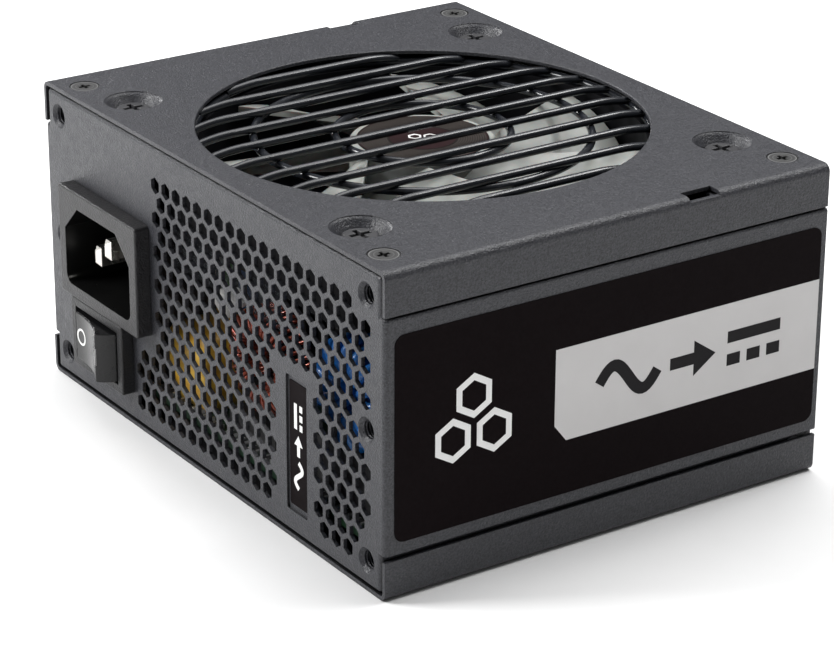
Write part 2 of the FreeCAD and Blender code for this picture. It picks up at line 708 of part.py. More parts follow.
# Sockets on the connector panel: name, columns, rows, centre x, which row they stand in.
SOCKETS = [
    ("socket_18_pin", 9, 2, -31, D.row_low),
    ("socket_10_pin", 5, 2, 4, D.row_low),
    ("socket_drives_low", 6, 1, 36, D.row_low),
    ("socket_8_pin_left", 4, 2, -42, D.row_high),
    ("socket_8_pin_middle", 4, 2, -18, D.row_high),
    ("socket_8_pin_right", 4, 2, 6, D.row_high),
    ("socket_drives_high", 6, 1, 36, D.row_high),
]


def socket_limits(columns, rows, x, z, play=0):
    half_x = D.cell_pitch * columns / 2 + D.socket_edge + play
    half_z = D.cell_pitch * rows / 2 + D.socket_edge + play
    return x - half_x, x + half_x, z - half_z, z + half_z


def cell_places(columns, rows, x, z):
    for column in range(columns):
        for row in range(rows):
            yield x + D.cell_pitch * (column - (columns - 1) / 2), z + D.cell_pitch * (row - (rows - 1) / 2)


def squares(half, columns, rows, x, z):
    """Draw one square of the given half width at every cell of a socket."""
    def draw(sketch):
        for across, up in cell_places(columns, rows, x, z):
            rectangle(sketch, across - half, across + half, up - half, up + half)
    return draw


def make_connector_panel():
    body = new_body("connector_panel")
    inner_half = D.rear_half - D.gauge
    inner_face = HALF_Y - D.gauge

    def plan(half, front, face, radius):
        return lambda sketch: outline(sketch, [(-half, front), (half, front),
                                               (half, face, radius), (-half, face, radius)])
    pad(body, "panel_block", "XY_Plane", D.rear_low, D.rear_high,
        plan(D.rear_half, D.rear_flange_y, HALF_Y, D.bend + D.gauge))
    pocket(body, "panel_inside", "XY_Plane", D.rear_low + D.gauge, D.rear_high - D.gauge,
           plan(inner_half, D.rear_flange_y - OVER, inner_face, D.bend))
    pocket(body, "panel_lips", "XY_Plane", 0, TOP,
           lambda sketch: rectangle(sketch, -D.rear_lip_x, D.rear_lip_x,
                                    D.rear_flange_y - OVER, D.rear_lip_y))
    for name, columns, rows, x, z in SOCKETS:
        limits = socket_limits(columns, rows, x, z, D.socket_play)
        pocket(body, name + "_window", "XZ_Plane", inner_face - OVER, HALF_Y + OVER,
               lambda sketch: rectangle(sketch, *limits))
    for side in (-1, 1):
        for z in (D.rivet_low, D.rivet_high):
            flange = side * D.rear_half
            pocket(body, "rivet_hole", "YZ_Plane", flange - OVER, flange + OVER,
                   lambda sketch: circle(sketch, D.rivet_y, z, D.rivet_radius))
    return node(body, "connector_panel")


def make_panel_rivets():
    rivets = []
    for side in (-1, 1):
        for z in (D.rivet_low, D.rivet_high):
            shank_end, flange_in = D.belt_half, D.rear_half - D.gauge
            spans = [(D.rivet_radius, flange_in, shank_end),
                     (D.rivet_head, shank_end, shank_end + D.rivet_head_height),
                     (D.rivet_head, flange_in - D.rivet_tail, flange_in)]
            pieces = []
            for radius, near_x, far_x in spans:
                low, high = (near_x, far_x) if side > 0 else (-far_x, -near_x)
                pieces.append(cylinder("rivet_piece", radius, low, high, "x", D.rivet_y, z))
            rivets.append(fuse("rivet", *pieces))
    return node(group("panel_rivets", *rivets), "panel_rivets")


# ---------------------------------------------------------------- screws and labels

def make_corner_screws(name, level):
    """Four countersunk screws; the recess is cut from the outside face."""
    body = new_body(name)
    x, y = D.corner_screw_x, D.corner_screw_y
    shank = turn(body, "flat_head", "PartDesign::Revolution", x, y,
                 lambda sketch: flat_head(sketch, level))
    low, high = sorted((level(D.corner_sink - OVER), level(D.cross_depth + D.corner_sink)),
                       key=lambda size: size.value)
    recess = pocket(body, "recess", "XY_Plane", low, high,
                    lambda sketch: cross(sketch, x, y, D.corner_cross, D.corner_slot))
    all_corners(body, "four_screws", [shank, recess])
    return node(body, name)


def make_fan_screws():
    body = new_body("fan_screws")
    place = D.fan_screw_place
    floor = TOP - D.dimple_depth
    head_top = floor + D.fan_head_height
    pan = turn(body, "pan_head", "PartDesign::Revolution", place, place, lambda sketch: trace(sketch, [
        (0, floor - D.fan_screw_length, None), (D.fan_shank, floor - D.fan_screw_length, None),
        (D.fan_shank, floor, None), (D.fan_head, floor, None),
        (D.fan_head, head_top - D.fan_head_round, D.fan_head_round),
        (D.fan_head - D.fan_head_round, head_top, None), (0, head_top, None),
    ]))
    recess = pocket(body, "recess", "XY_Plane", head_top - D.cross_depth, head_top + OVER,
                    lambda sketch: cross(sketch, place, place, D.fan_cross, D.fan_slot))
    all_corners(body, "four_screws", [pan, recess])
    return node(body, "fan_screws")


def make_labels():
    for name, low, high in (("side_label_right", HALF_X, HALF_X + D.label_thick),
                            ("side_label_left", -HALF_X - D.label_thick, -HALF_X)):
        body = new_body(name)
        pad(body, "face", "YZ_Plane", low, high,
            lambda sketch: rectangle(sketch, D.label_start, D.label_end, D.label_low, D.label_high,
                                     D.label_round))
        node(body, name)
    body = new_body("badge_label")
    recess = -HALF_Y + D.badge_depth
    pad(body, "face", "XZ_Plane", recess - D.label_thick, recess,
        lambda sketch: rectangle(sketch, D.badge_label_left, D.badge_label_right,
                                 D.badge_label_low, D.badge_label_high, D.badge_label_round))
    node(body, "badge_label")


# ---------------------------------------------------------------- fan

def ring(inner, outer):
    def draw(sketch):
        circle(sketch, 0, 0, outer)
        circle(sketch, 0, 0, inner)
    return draw


def disc(radius):
    return lambda sketch: circle(sketch, 0, 0, radius)


def make_fan_frame():
    body = new_body("fan_frame")
    half = D.fan_size / 2
    pad(body, "block", "XY_Plane", FAN_BOTTOM, FAN_TOP,
        lambda sketch: rectangle(sketch, -half, half, -half, half, D.fan_corner))
    pocket(body, "duct", "XY_Plane", FAN_BOTTOM - OVER, FAN_TOP + OVER, disc(D.fan_duct))
    place = D.fan_screw_place
    hole = pocket(body, "screw_hole", "XY_Plane", FAN_BOTTOM - OVER, FAN_TOP + OVER,
                  lambda sketch: circle(sketch, place, place, D.fan_hole))
    all_corners(body, "screw_holes", [hole])
    strut = pad(body, "strut", "XY_Plane", FAN_BOTTOM, FAN_BOTTOM + D.strut_height,
                lambda sketch: rectangle(sketch, D.motor_plate - OVER, D.fan_duct + OVER,
                                         -D.strut / 2, D.strut / 2))
    around(body, "struts", [strut], 4)
    pad(body, "motor_plate", "XY_Plane", FAN_BOTTOM, FAN_BOTTOM + D.motor_plate_thick,
        disc(D.motor_plate))
    pad(body, "bearing_tube", "XY_Plane", FAN_BOTTOM, FAN_BOTTOM + D.tube_height, disc(D.tube_radius))
    pocket(body, "bearing_bore", "XY_Plane", FAN_BOTTOM + D.bore_floor, FAN_BOTTOM + D.tube_height + OVER,
           disc(D.bearing_radius))
    return node(body, "fan_frame")


def make_fan_motor():
    tube_top = FAN_BOTTOM + D.tube_height
    body = new_body("fan_bearing")
    pad(body, "sleeve", "XY_Plane", FAN_BOTTOM + D.sleeve_floor, tube_top,
        ring(D.shaft_radius + D.shaft_play, D.bearing_radius))
    node(body, "fan_bearing")

    body = new_body("fan_stator")
    low = FAN_BOTTOM + D.motor_plate_thick + D.stator_gap
    pad(body, "laminations", "XY_Plane", low, low + D.stator_height,
        ring(D.tube_radius, D.stator_radius))
    slot = pocket(body, "winding_slot", "XY_Plane", low - OVER, low + D.stator_height + OVER,
                  lambda sketch: circle(sketch, (D.stator_radius + D.tube_radius) / 2, 0, D.slot_radius))
    around(body, "winding_slots", [slot], 6)
    node(body, "fan_stator")


def blade_section(sketch, back, front, low, high, camber):
    """A thin arched strip, high at the leading edge and low at the trailing edge."""
    trace(sketch, [
        (front, high, camber), (back, low, None),
        (back, low - D.blade_thick, -as_size(camber)), (front, high - D.blade_thick, None),
    ])


def make_rotor():
    hub_top = FAN_TOP - D.hub_drop
    hub_low = hub_top - D.hub_height
    inside = D.hub_radius - D.hub_wall
    body = new_body("rotor")
    pad(body, "hub", "XY_Plane", hub_low, hub_top, disc(D.hub_radius))
    root_sketch = new_sketch(body, "blade_root", "YZ_Plane", out=D.blade_root_x)
    blade_low, blade_top = hub_low + D.blade_low, hub_top - D.blade_drop
    blade_section(root_sketch, D.blade_root_back, D.blade_root_front, blade_low, blade_top,
                  D.blade_root_camber)
    tip_sketch = new_sketch(body, "blade_end", "YZ_Plane", out=D.blade_tip + D.blade_extra)
    blade_section(tip_sketch, D.blade_tip_back, D.blade_tip_front, blade_low, blade_top,
                  D.blade_tip_camber)
    blade = body.newObject("PartDesign::AdditiveLoft", "blade")
    blade.Profile = root_sketch
    blade.Sections = [tip_sketch]
    around(body, "blades", [blade], 7)
    turn(body, "tip_trim", "PartDesign::Groove", 0, 0,
         lambda sketch: rectangle(sketch, D.blade_tip, D.blade_tip * 1.2,
                                  FAN_BOTTOM - OVER, FAN_TOP + OVER))
    roof, boss_low = hub_top - D.hub_roof, FAN_BOTTOM + D.tube_height + D.boss_gap
    turn(body, "cup", "PartDesign::Groove", 0, 0, lambda sketch: trace(sketch, [(x, y, None) for x, y in (
        (0, FAN_BOTTOM), (inside, FAN_BOTTOM), (inside, roof), (D.boss_radius, roof),
        (D.boss_radius, boss_low), (D.shaft_radius, boss_low), (D.shaft_radius, roof), (0, roof))]))
    fillet(body, "hub_edge", D.hub_round, lambda edge: near(edge.Length, 2 * math.pi * D.hub_radius.value)
           and near(edge.BoundBox.ZMax, hub_top))
    set_place(body, 0, 0, 0, Rotation(Vector(0, 0, 1), D.rotor_turn.value))
    node(body, "rotor")

    node(cylinder("rotor_shaft", D.shaft_radius, FAN_BOTTOM + D.shaft_floor, roof), "rotor_shaft")
    body = new_body("rotor_magnet")
    magnet_top = roof - D.magnet_drop
    pad(body, "magnet", "XY_Plane", magnet_top - D.magnet_height, magnet_top,
        ring(inside - D.magnet_wall, inside))
    node(body, "rotor_magnet")
    node(cylinder("hub_sticker", D.sticker_radius, hub_top, hub_top + D.sticker_thick), "hub_sticker")


def make_fan_grille():
    body = new_body("fan_grille")
    for name, radius, z in (("outer", D.ring_outer, D.ring_outer_z), ("middle", D.ring_middle, D.ring_z),
                            ("inner", D.ring_inner, D.ring_z)):
        turn(body, f"{name}_ring", "PartDesign::Revolution", 0, 0,
             lambda sketch: circle(sketch, radius, z, D.wire))
    bend = (D.bar_run * D.bar_run + D.bar_drop * D.bar_drop) / (2 * D.bar_drop)
    bars = []
    for number in range(6):
        x = D.bar_spacing * number
        end = root(D.ring_outer * D.ring_outer - x * x)
        path = new_sketch(body, f"bar_{number}_path", "YZ_Plane", out=x)
        trace(path, [(0, D.bar_z, None), (end - D.bar_run, D.bar_z, -bend),
                     (end, D.bar_z - D.bar_drop, None)], closed=False)
        section = new_sketch(body, f"bar_{number}_section", "XZ_Plane")
        circle(section, x, D.bar_z, D.wire)
        bar = body.newObject("PartDesign::AdditivePipe", f"bar_{number}")
        bar.Profile = section
        bar.Spine = (path, ["Edge1", "Edge2"])
        bars.append(bar)
    all_corners(body, "bars", bars)
    return node(body, "fan_grille")


# ---------------------------------------------------------------- inlet and switch

def make_inlet():
    body = new_body("inlet_housing")
    margin = D.inlet_body_margin
    pad(body, "bezel", "XZ_Plane", D.inlet_front, -HALF_Y,
        lambda sketch: rectangle(sketch, D.inlet_left, D.inlet_right, D.inlet_low, D.inlet_high,
                                 D.inlet_corner))
    fillet(body, "bezel_edge", D.inlet_round, edge_at(y=D.inlet_front))
    pad(body, "body", "XZ_Plane", -HALF_Y, D.inlet_back,
        lambda sketch: rectangle(sketch, D.cavity_left - margin, D.cavity_right + margin,
                                 D.cavity_low - margin, D.cavity_high + margin))
    left, right, low, high = D.cavity_left, D.cavity_right, D.cavity_low, D.cavity_high
    slope, curve = D.cavity_chamfer, D.cavity_round
    pocket(body, "cavity", "XZ_Plane", D.inlet_front - OVER, D.cavity_floor,
           lambda sketch: outline(sketch, [
               (left, low, curve), (right, low, curve), (right, high - slope), (right - slope, high),
               (left + slope, high), (left, high - slope)]))
    pocket(body, "blade_slots", "XZ_Plane", D.cavity_floor - OVER, D.inlet_back + OVER,
           blade_faces(range(3)))
    node(body, "inlet_housing")

    body = new_body("inlet_pins")
    pad(body, "line_blades", "XZ_Plane", D.line_front, D.blade_back, blade_faces((0, 2)))
    pad(body, "earth_blade", "XZ_Plane", D.earth_front, D.blade_back, blade_faces((1,)))
    chamfer(body, "blade_tips", D.blade_tip_slope,
            lambda edge: edge_at(y=D.line_front)(edge) or edge_at(y=D.earth_front)(edge))
    node(body, "inlet_pins")


def blade_centres():
    """Live, earth and neutral blades, as (x, z)."""
    return [(D.blade_x - D.blade_spread, D.blade_z), (D.blade_x, D.blade_z + D.earth_rise),
            (D.blade_x + D.blade_spread, D.blade_z)]


def blade_faces(chosen):
    def draw(sketch):
        for number in chosen:
            x, z = blade_centres()[number]
            rectangle(sketch, x - D.blade_wide / 2, x + D.blade_wide / 2,
                      z - D.blade_tall / 2, z + D.blade_tall / 2)
    return draw


def make_mains_leads():
    """Insulated leads from the inlet blades down to the board, each with two straight runs."""
    bend, run = D.lead_bend, D.lead_run
    for name, (x, z) in zip(("live_lead", "earth_lead", "neutral_lead"), blade_centres()):
        body = new_body(name)
        path = new_sketch(body, "route", "YZ_Plane", out=x)
        start = D.blade_back
        trace(path, [(start, z, None), (start + run, z, -bend), (start + run + bend, z - bend, None),
                     (start + run + bend, BOARD_TOP, None)], closed=False)
        section = new_sketch(body, "section", "XZ_Plane", out=-start)
        circle(section, x, z, D.lead_radius)
        sleeve = body.newObject("PartDesign::AdditivePipe", "sleeve")
        sleeve.Profile = section
        sleeve.Spine = (path, ["Edge1", "Edge2", "Edge3"])
        node(body, name)


def terminals():
    """Four flat terminals behind the switch, as (x, z)."""
    for x in (D.rocker_pivot_x - D.terminal_step, D.rocker_pivot_x):
        for z in (D.switch_open_low + D.terminal_inset, D.switch_open_high - D.terminal_inset):
            yield x, z


def terminal_faces(sketch):
    for x, z in terminals():
        rectangle(sketch, x - D.terminal_wide / 2, x + D.terminal_wide / 2,
                  z - D.terminal_tall / 2, z + D.terminal_tall / 2)


def make_switch():
    body = new_body("switch_frame")
    x, half, margin = D.rocker_pivot_x, D.switch_open_half, D.switch_body_margin
    low, high = D.switch_open_low, D.switch_open_high
    pad(body, "bezel", "XZ_Plane", D.switch_front, -HALF_Y,
        lambda sketch: rectangle(sketch, D.switch_left, D.switch_right, D.switch_low, D.switch_high,
                                 D.switch_corner))
    fillet(body, "bezel_edge", D.switch_round, edge_at(y=D.switch_front))
    pad(body, "body", "XZ_Plane", -HALF_Y, D.switch_back,
        lambda sketch: rectangle(sketch, x - half - margin, x + half + margin, low - margin, high + margin))
    pocket(body, "well", "XZ_Plane", D.switch_front - OVER, D.switch_floor,
           lambda sketch: rectangle(sketch, x - half, x + half, low, high))
    end_play = D.pivot_end + D.pivot_play
    for name, start, end in (("low", low - end_play, low + D.pivot_overlap),
                             ("high", high - D.pivot_overlap, high + end_play)):
        pocket(body, f"pivot_{name}", "XY_Plane", start, end,
               lambda sketch: circle(sketch, x, -HALF_Y, D.pivot_radius + D.pivot_play))
    pocket(body, "terminal_slots", "XZ_Plane", D.switch_floor - OVER, D.switch_back + OVER, terminal_faces)
    node(body, "switch_frame")

    body = new_body("switch_terminals")
    pad(body, "blades", "XZ_Plane", D.switch_floor - D.terminal_grip, D.terminal_back, terminal_faces)
    node(body, "switch_terminals")

    body = new_body("switch_rocker")
    ridge_x, ridge_y, back = D.rocker_ridge_x, D.rocker_ridge_y, D.rocker_back
    sweep = root(ridge_x * ridge_x + ridge_y * ridge_y)
    end_x = root(sweep * sweep - back * back)
    rise = ridge_y - D.rocker_valley
    hollow = (ridge_x * ridge_x + rise * rise) / (2 * rise)
    pad(body, "cap", "XY_Plane", D.rocker_low, D.rocker_high, lambda sketch: trace(sketch, [
        (-ridge_x, -ridge_y, -hollow), (ridge_x, -ridge_y, sweep), (end_x, back, None),
        (-end_x, back, sweep)]))
    fillet(body, "cap_edges", D.rocker_round,
           lambda edge: edge.BoundBox.YMax < D.rocker_round.value - D.rocker_valley.value)
    for name, start, end in (("low", low - D.pivot_end, D.rocker_low),
                             ("high", D.rocker_high, high + D.pivot_end)):
        pad(body, f"trunnion_{name}", "XY_Plane", start, end, disc(D.pivot_radius))
    set_place(body, x, -HALF_Y, 0, Rotation(Vector(0, 0, 1), D.rocker_tilt.value))
    node(body, "switch_rocker")


# ---------------------------------------------------------------- boards and what stands on them

def make_boards():
    board_plan = (-D.board_half_x, D.board_half_x, -D.board_half_y, D.board_half_y, D.board_round)
    body = new_body("main_board")
    pad(body, "laminate", "XY_Plane", D.board_low, BOARD_TOP,
        lambda sketch: rectangle(sketch, *board_plan))
    hole = pocket(body, "screw_hole", "XY_Plane", D.board_low - OVER, BOARD_TOP + OVER,
                  lambda sketch: circle(sketch, D.standoff_x, D.standoff_y, D.board_screw))
    all_corners(body, "screw_holes", [hole])
    node(body, "main_board")

    body = new_body("insulation_sheet")
    pad(body, "film", "XY_Plane", D.gauge, D.gauge + D.sheet_thick,
        lambda sketch: rectangle(sketch, *board_plan))
    for name, x, y, radius in (("standoff", D.standoff_x, D.standoff_y, D.standoff_radius + D.sheet_play),
                               ("tab", D.corner_screw_x, D.corner_screw_y, D.sheet_tab)):
        hole = pocket(body, name + "_hole", "XY_Plane", 0, D.board_low,
                      lambda sketch: circle(sketch, x, y, radius))
        all_corners(body, name + "_holes", [hole])
    node(body, "insulation_sheet")

    body = new_body("standoffs")
    post = turn(body, "post", "PartDesign::Revolution", D.standoff_x, D.standoff_y,
                lambda sketch: rectangle(sketch, D.board_screw, D.standoff_radius, D.gauge, D.board_low))
    all_corners(body, "posts", [post])
    node(body, "standoffs")

    body = new_body("board_screws")
    start = D.gauge + D.board_screw_start
    rim = BOARD_TOP + D.board_screw_rim
    top = BOARD_TOP + D.board_screw_height
    head = turn(body, "screw", "PartDesign::Revolution", D.standoff_x, D.standoff_y,
                lambda sketch: trace(sketch, [(x, y, None) for x, y in (
                    (0, start), (D.board_screw, start), (D.board_screw, BOARD_TOP),
                    (D.board_screw_head, BOARD_TOP), (D.board_screw_head, rim),
                    (D.board_screw_top, top), (0, top))]))
    all_corners(body, "screws", [head])
    node(body, "board_screws")


def make_modular_board():
    back = D.modular_front + D.board_thick
    body = new_body("modular_board")
    pad(body, "laminate", "XZ_Plane", D.modular_front, back,
        lambda sketch: rectangle(sketch, -D.modular_half, D.modular_half, BOARD_TOP, D.modular_high))
    pins = new_body("socket_pins")
    for name, *grid in SOCKETS:
        pocket(body, name + "_holes", "XZ_Plane", D.modular_front - OVER, back + OVER,
               squares(D.pin_half, *grid))
        pad(pins, name + "_pins", "XZ_Plane", D.modular_front - D.pin_tail, D.pin_front,
            squares(D.pin_half, *grid))
        socket = new_body(name)
        pad(socket, "shell", "XZ_Plane", back, D.socket_front,
            lambda sketch: rectangle(sketch, *socket_limits(*grid)))
        pocket(socket, "cells", "XZ_Plane", D.socket_floor, D.socket_front + OVER,
               squares(D.cell_half, *grid))
        pocket(socket, "pin_holes", "XZ_Plane", back - OVER, D.socket_floor + OVER,
               squares(D.pin_half, *grid))
        node(socket, name)
    node(body, "modular_board")
    node(pins, "socket_pins")


def make_toroid(name):
    """A ferrite ring with a winding in two halves around it."""
    axis = TOROIDS[name][0]
    start, end, across, up, bore, core_bore, core_out, out = (
        getattr(D, f"{name}_{cell}") for cell in TOROID_CELLS)

    def tube(label, inner, outer, low, high):
        return cut(label, cylinder(label + "_out", outer, low, high, axis, across, up),
                   cylinder(label + "_in", inner, low - OVER, high + OVER, axis, across, up))

    inset, gap, reach = D.toroid_inset, D.toroid_gap, out + OVER
    core = tube(name + "_core", core_bore, core_out, start + inset, end - inset)
    space = tube(name + "_core_space", core_bore, core_out, start + inset, end - inset)
    wrap = tube(name + "_wrap", bore, out, start, end)
    if axis == "y":
        slot = box(name + "_gap", across - gap, across + gap, start - OVER, end + OVER,
                   up - reach, up + reach)
    else:
        slot = box(name + "_gap", across - reach, across + reach, up - gap, up + gap,
                   start - OVER, end + OVER)
    node(core, name + "_core")
    node(cut(name + "_winding", wrap, space, slot), name + "_winding")


def make_filter_parts():
    """Mains filter behind the vent wall."""
    left, right, front, back, low, high = block_limits("x_capacitor")
    body = new_body("x_capacitor")
    pad(body, "case", "XY_Plane", low, high,
        lambda sketch: rectangle(sketch, left, right, front, back, D.case_round + D.gauge / 4))
    fillet(body, "case_edges", D.case_round, edge_at(z=high))
    node(body, "x_capacitor")
    make_toroid("line_choke")
    make_toroid("filter_choke")
    node(group("choke_bases", block("line_base"), block("filter_base")), "choke_bases")
    node(block("relay"), "relay")


def make_primary_side():
    can_top = BOARD_TOP + D.bulk_height
    body = new_body("bulk_capacitor")
    turn(body, "can", "PartDesign::Revolution", D.bulk_x, D.bulk_y,
         lambda sketch: rectangle(sketch, 0, D.bulk_radius, BOARD_TOP, can_top))
    fillet(body, "can_edge", D.bulk_round, edge_at(z=can_top))
    node(body, "bulk_capacitor")
    node(block("bridge_rectifier"), "bridge_rectifier")

    web = block("heatsink_web")
    fins = []
    for number in range(6):
        x = D.fin_start + D.fin_step * number
        fins.append(box("fin", x, x + D.fin_thick, D.fin_front, D.heatsink_web_front + D.gauge / 8,
                        D.fin_low, D.heatsink_web_high))
    node(fuse("primary_heatsink", web, *fins), "primary_heatsink")

    _, _, front, back, low, high = block_limits("transistor")
    cases = []
    for number in range(3):
        x = D.transistor_start + D.transistor_step * number
        cases.append(box("transistor", x, x + D.transistor_wide, front, back, low, high))
    node(group("power_transistors", *cases), "power_transistors")
    make_toroid("boost_choke")


def make_transformer():
    legs = cut("core_legs", block("core_block"), block("core_window"))
    node(fuse("transformer_core", legs, block("centre_leg")), "transformer_core")
    left, right, front, back, low, high = block_limits("centre_leg")
    leg_space = box("leg_space", left, right, front, back, low - OVER, high + OVER)
    node(cut("transformer_winding", block("coil"), leg_space), "transformer_winding")


def make_secondary_side():
    cans = []
    for number in range(9):
        x = D.can_x + D.can_step * number
        can = cylinder("can", D.can_radius, BOARD_TOP, BOARD_TOP + D.can_height, "z", x, D.can_y)
        cans.append(can)
    node(group("output_capacitors", *cans), "output_capacitors")
    node(block("secondary_heatsink"), "secondary_heatsink")
    node(block("control_board"), "control_board")


def make_air_baffle():
    """Clear film under the fan, with an apron hanging behind the vent wall."""
    top = FAN_BOTTOM - D.baffle_gap
    front = D.baffle_front
    film = box("film", -D.baffle_half, D.baffle_half, front, D.baffle_back, top - D.baffle_thick, top)
    apron = box("apron", D.apron_left, D.apron_right, front, front + D.baffle_thick, D.apron_low, top)
    node(fuse("air_baffle", film, apron), "air_baffle")


# ---------------------------------------------------------------- build and export

def main():
    make_top_cover()
    make_bottom_tray()
    make_main_frame()
    make_connector_panel()
    make_panel_rivets()
    make_corner_screws("cover_screws", from_top)
    make_corner_screws("tray_screws", from_base)
    make_fan_screws()
    make_labels()
    make_fan_frame()
    make_fan_motor()
    make_rotor()
    make_fan_grille()
    make_inlet()
    make_mains_leads()
    make_switch()
    make_boards()
    make_modular_board()
    make_filter_parts()
    make_primary_side()
    make_transformer()
    make_secondary_side()
    make_air_baffle()
    doc.recompute()

    failed = [thing.Label for thing in doc.Objects if {"Invalid", "Error"} & set(thing.State)]
    if failed:
        raise RuntimeError(f"these objects failed: {failed}")
    for thing in nodes:
        if thing.Shape.isNull() or not thing.Shape.isValid():
            raise RuntimeError(f"{thing.Label} has no sound shape")
    os.makedirs("parts", exist_ok=True)
    for thing in nodes:
        thing.Shape.exportStep(f"parts/{thing.Label}.step")
    print(len(nodes), "nodes")


main()
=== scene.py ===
"""Looks of the small form factor power supply: paint, plastics, wire windings, labels and studio."""
import json
import math
import random

import bmesh
import bpy
from mathutils import Matrix, Vector


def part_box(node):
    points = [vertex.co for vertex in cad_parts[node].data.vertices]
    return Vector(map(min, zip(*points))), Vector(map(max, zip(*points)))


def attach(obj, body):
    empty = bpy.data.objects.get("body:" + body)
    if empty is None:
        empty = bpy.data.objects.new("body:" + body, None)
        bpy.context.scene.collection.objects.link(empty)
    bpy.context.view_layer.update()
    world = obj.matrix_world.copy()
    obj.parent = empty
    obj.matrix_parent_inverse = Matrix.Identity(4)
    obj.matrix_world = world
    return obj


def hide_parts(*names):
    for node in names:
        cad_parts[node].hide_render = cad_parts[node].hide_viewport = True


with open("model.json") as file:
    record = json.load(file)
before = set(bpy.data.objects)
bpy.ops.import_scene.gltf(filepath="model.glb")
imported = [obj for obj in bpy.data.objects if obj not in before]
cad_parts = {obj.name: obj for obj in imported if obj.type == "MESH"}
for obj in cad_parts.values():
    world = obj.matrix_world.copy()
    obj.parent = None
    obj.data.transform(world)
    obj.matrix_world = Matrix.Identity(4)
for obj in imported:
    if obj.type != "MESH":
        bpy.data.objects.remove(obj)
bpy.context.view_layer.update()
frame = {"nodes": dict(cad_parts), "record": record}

MM = 0.001
NODES = frame["nodes"]


# ---------------------------------------------------------------- camera, floor and lights

CAMERA_PLACE = Vector((475.3, -322.3, 263.6)) * MM
CAMERA_AZIMUTH, CAMERA_ELEVATION, CAMERA_ROLL = 55.952, 22.952, 0.285
CAMERA_LENS = 134.7


def make_camera():
    data = bpy.data.cameras.new("camera")
    data.sensor_width = 36
    data.lens = CAMERA_LENS
    data.clip_start, data.clip_end = 0.01, 20
    camera = bpy.data.objects.new("camera", data)
    bpy.context.collection.objects.link(camera)
    azimuth, elevation = math.radians(CAMERA_AZIMUTH), math.radians(CAMERA_ELEVATION)
    back = Vector((math.sin(azimuth) * math.cos(elevation),
                   -math.cos(azimuth) * math.cos(elevation), math.sin(elevation)))
    camera.location = CAMERA_PLACE
    camera.rotation_mode = "QUATERNION"
    roll = Matrix.Rotation(math.radians(CAMERA_ROLL), 3, "Z").to_quaternion()
    camera.rotation_quaternion = (-back).to_track_quat("-Z", "Y") @ roll
    bpy.context.scene.camera = camera


def area_light(name, place, aim, size, watts, colour=(1, 1, 1)):
    data = bpy.data.lights.new(name, "AREA")
    data.shape = "RECTANGLE"
    data.size, data.size_y = size
    data.energy = watts
    data.color = colour
    light = bpy.data.objects.new(name, data)
    light.location = place
    light.rotation_euler = (Vector(aim) - Vector(place)).to_track_quat("-Z", "Y").to_euler()
    bpy.context.collection.objects.link(light)


def make_studio():
    middle = (0, 0, 0.03)
    area_light("key", (-0.50, -0.70, 0.62), middle, (0.4, 0.3), 12.2)
    area_light("overhead", (-0.15, 0.30, 0.95), middle, (0.8, 0.8), 9.5)
    area_light("left_low", (-1.0, 0.03, 0.37), middle, (0.3, 0.18), 3)
    area_light("bend_sheen", (0.17, 0.55, 0.82), middle, (0.5, 0.1), 4)
    world = bpy.data.worlds.new("studio")
    world.use_nodes = True
    background = world.node_tree.nodes["Background"]
    background.inputs["Color"].default_value = (1, 1, 1, 1)
    background.inputs["Strength"].default_value = 0.18
    bpy.context.scene.world = world
    bpy.context.scene.view_settings.view_transform = "Standard"


def make_floor():
    reach = 3.0
    mesh = bpy.data.meshes.new("floor")
    level = -0.0001
    corners = [(-reach, -reach, level), (reach, -reach, level), (reach, reach, level), (-reach, reach, level)]
    mesh.from_pydata(corners, [], [(0, 1, 2, 3)])
    floor = bpy.data.objects.new("floor", mesh)
    bpy.context.collection.objects.link(floor)
    mesh.materials.append(simple_material("floor", (0.88, 0.88, 0.88), 0.9, spread=0.005))


# ---------------------------------------------------------------- materials

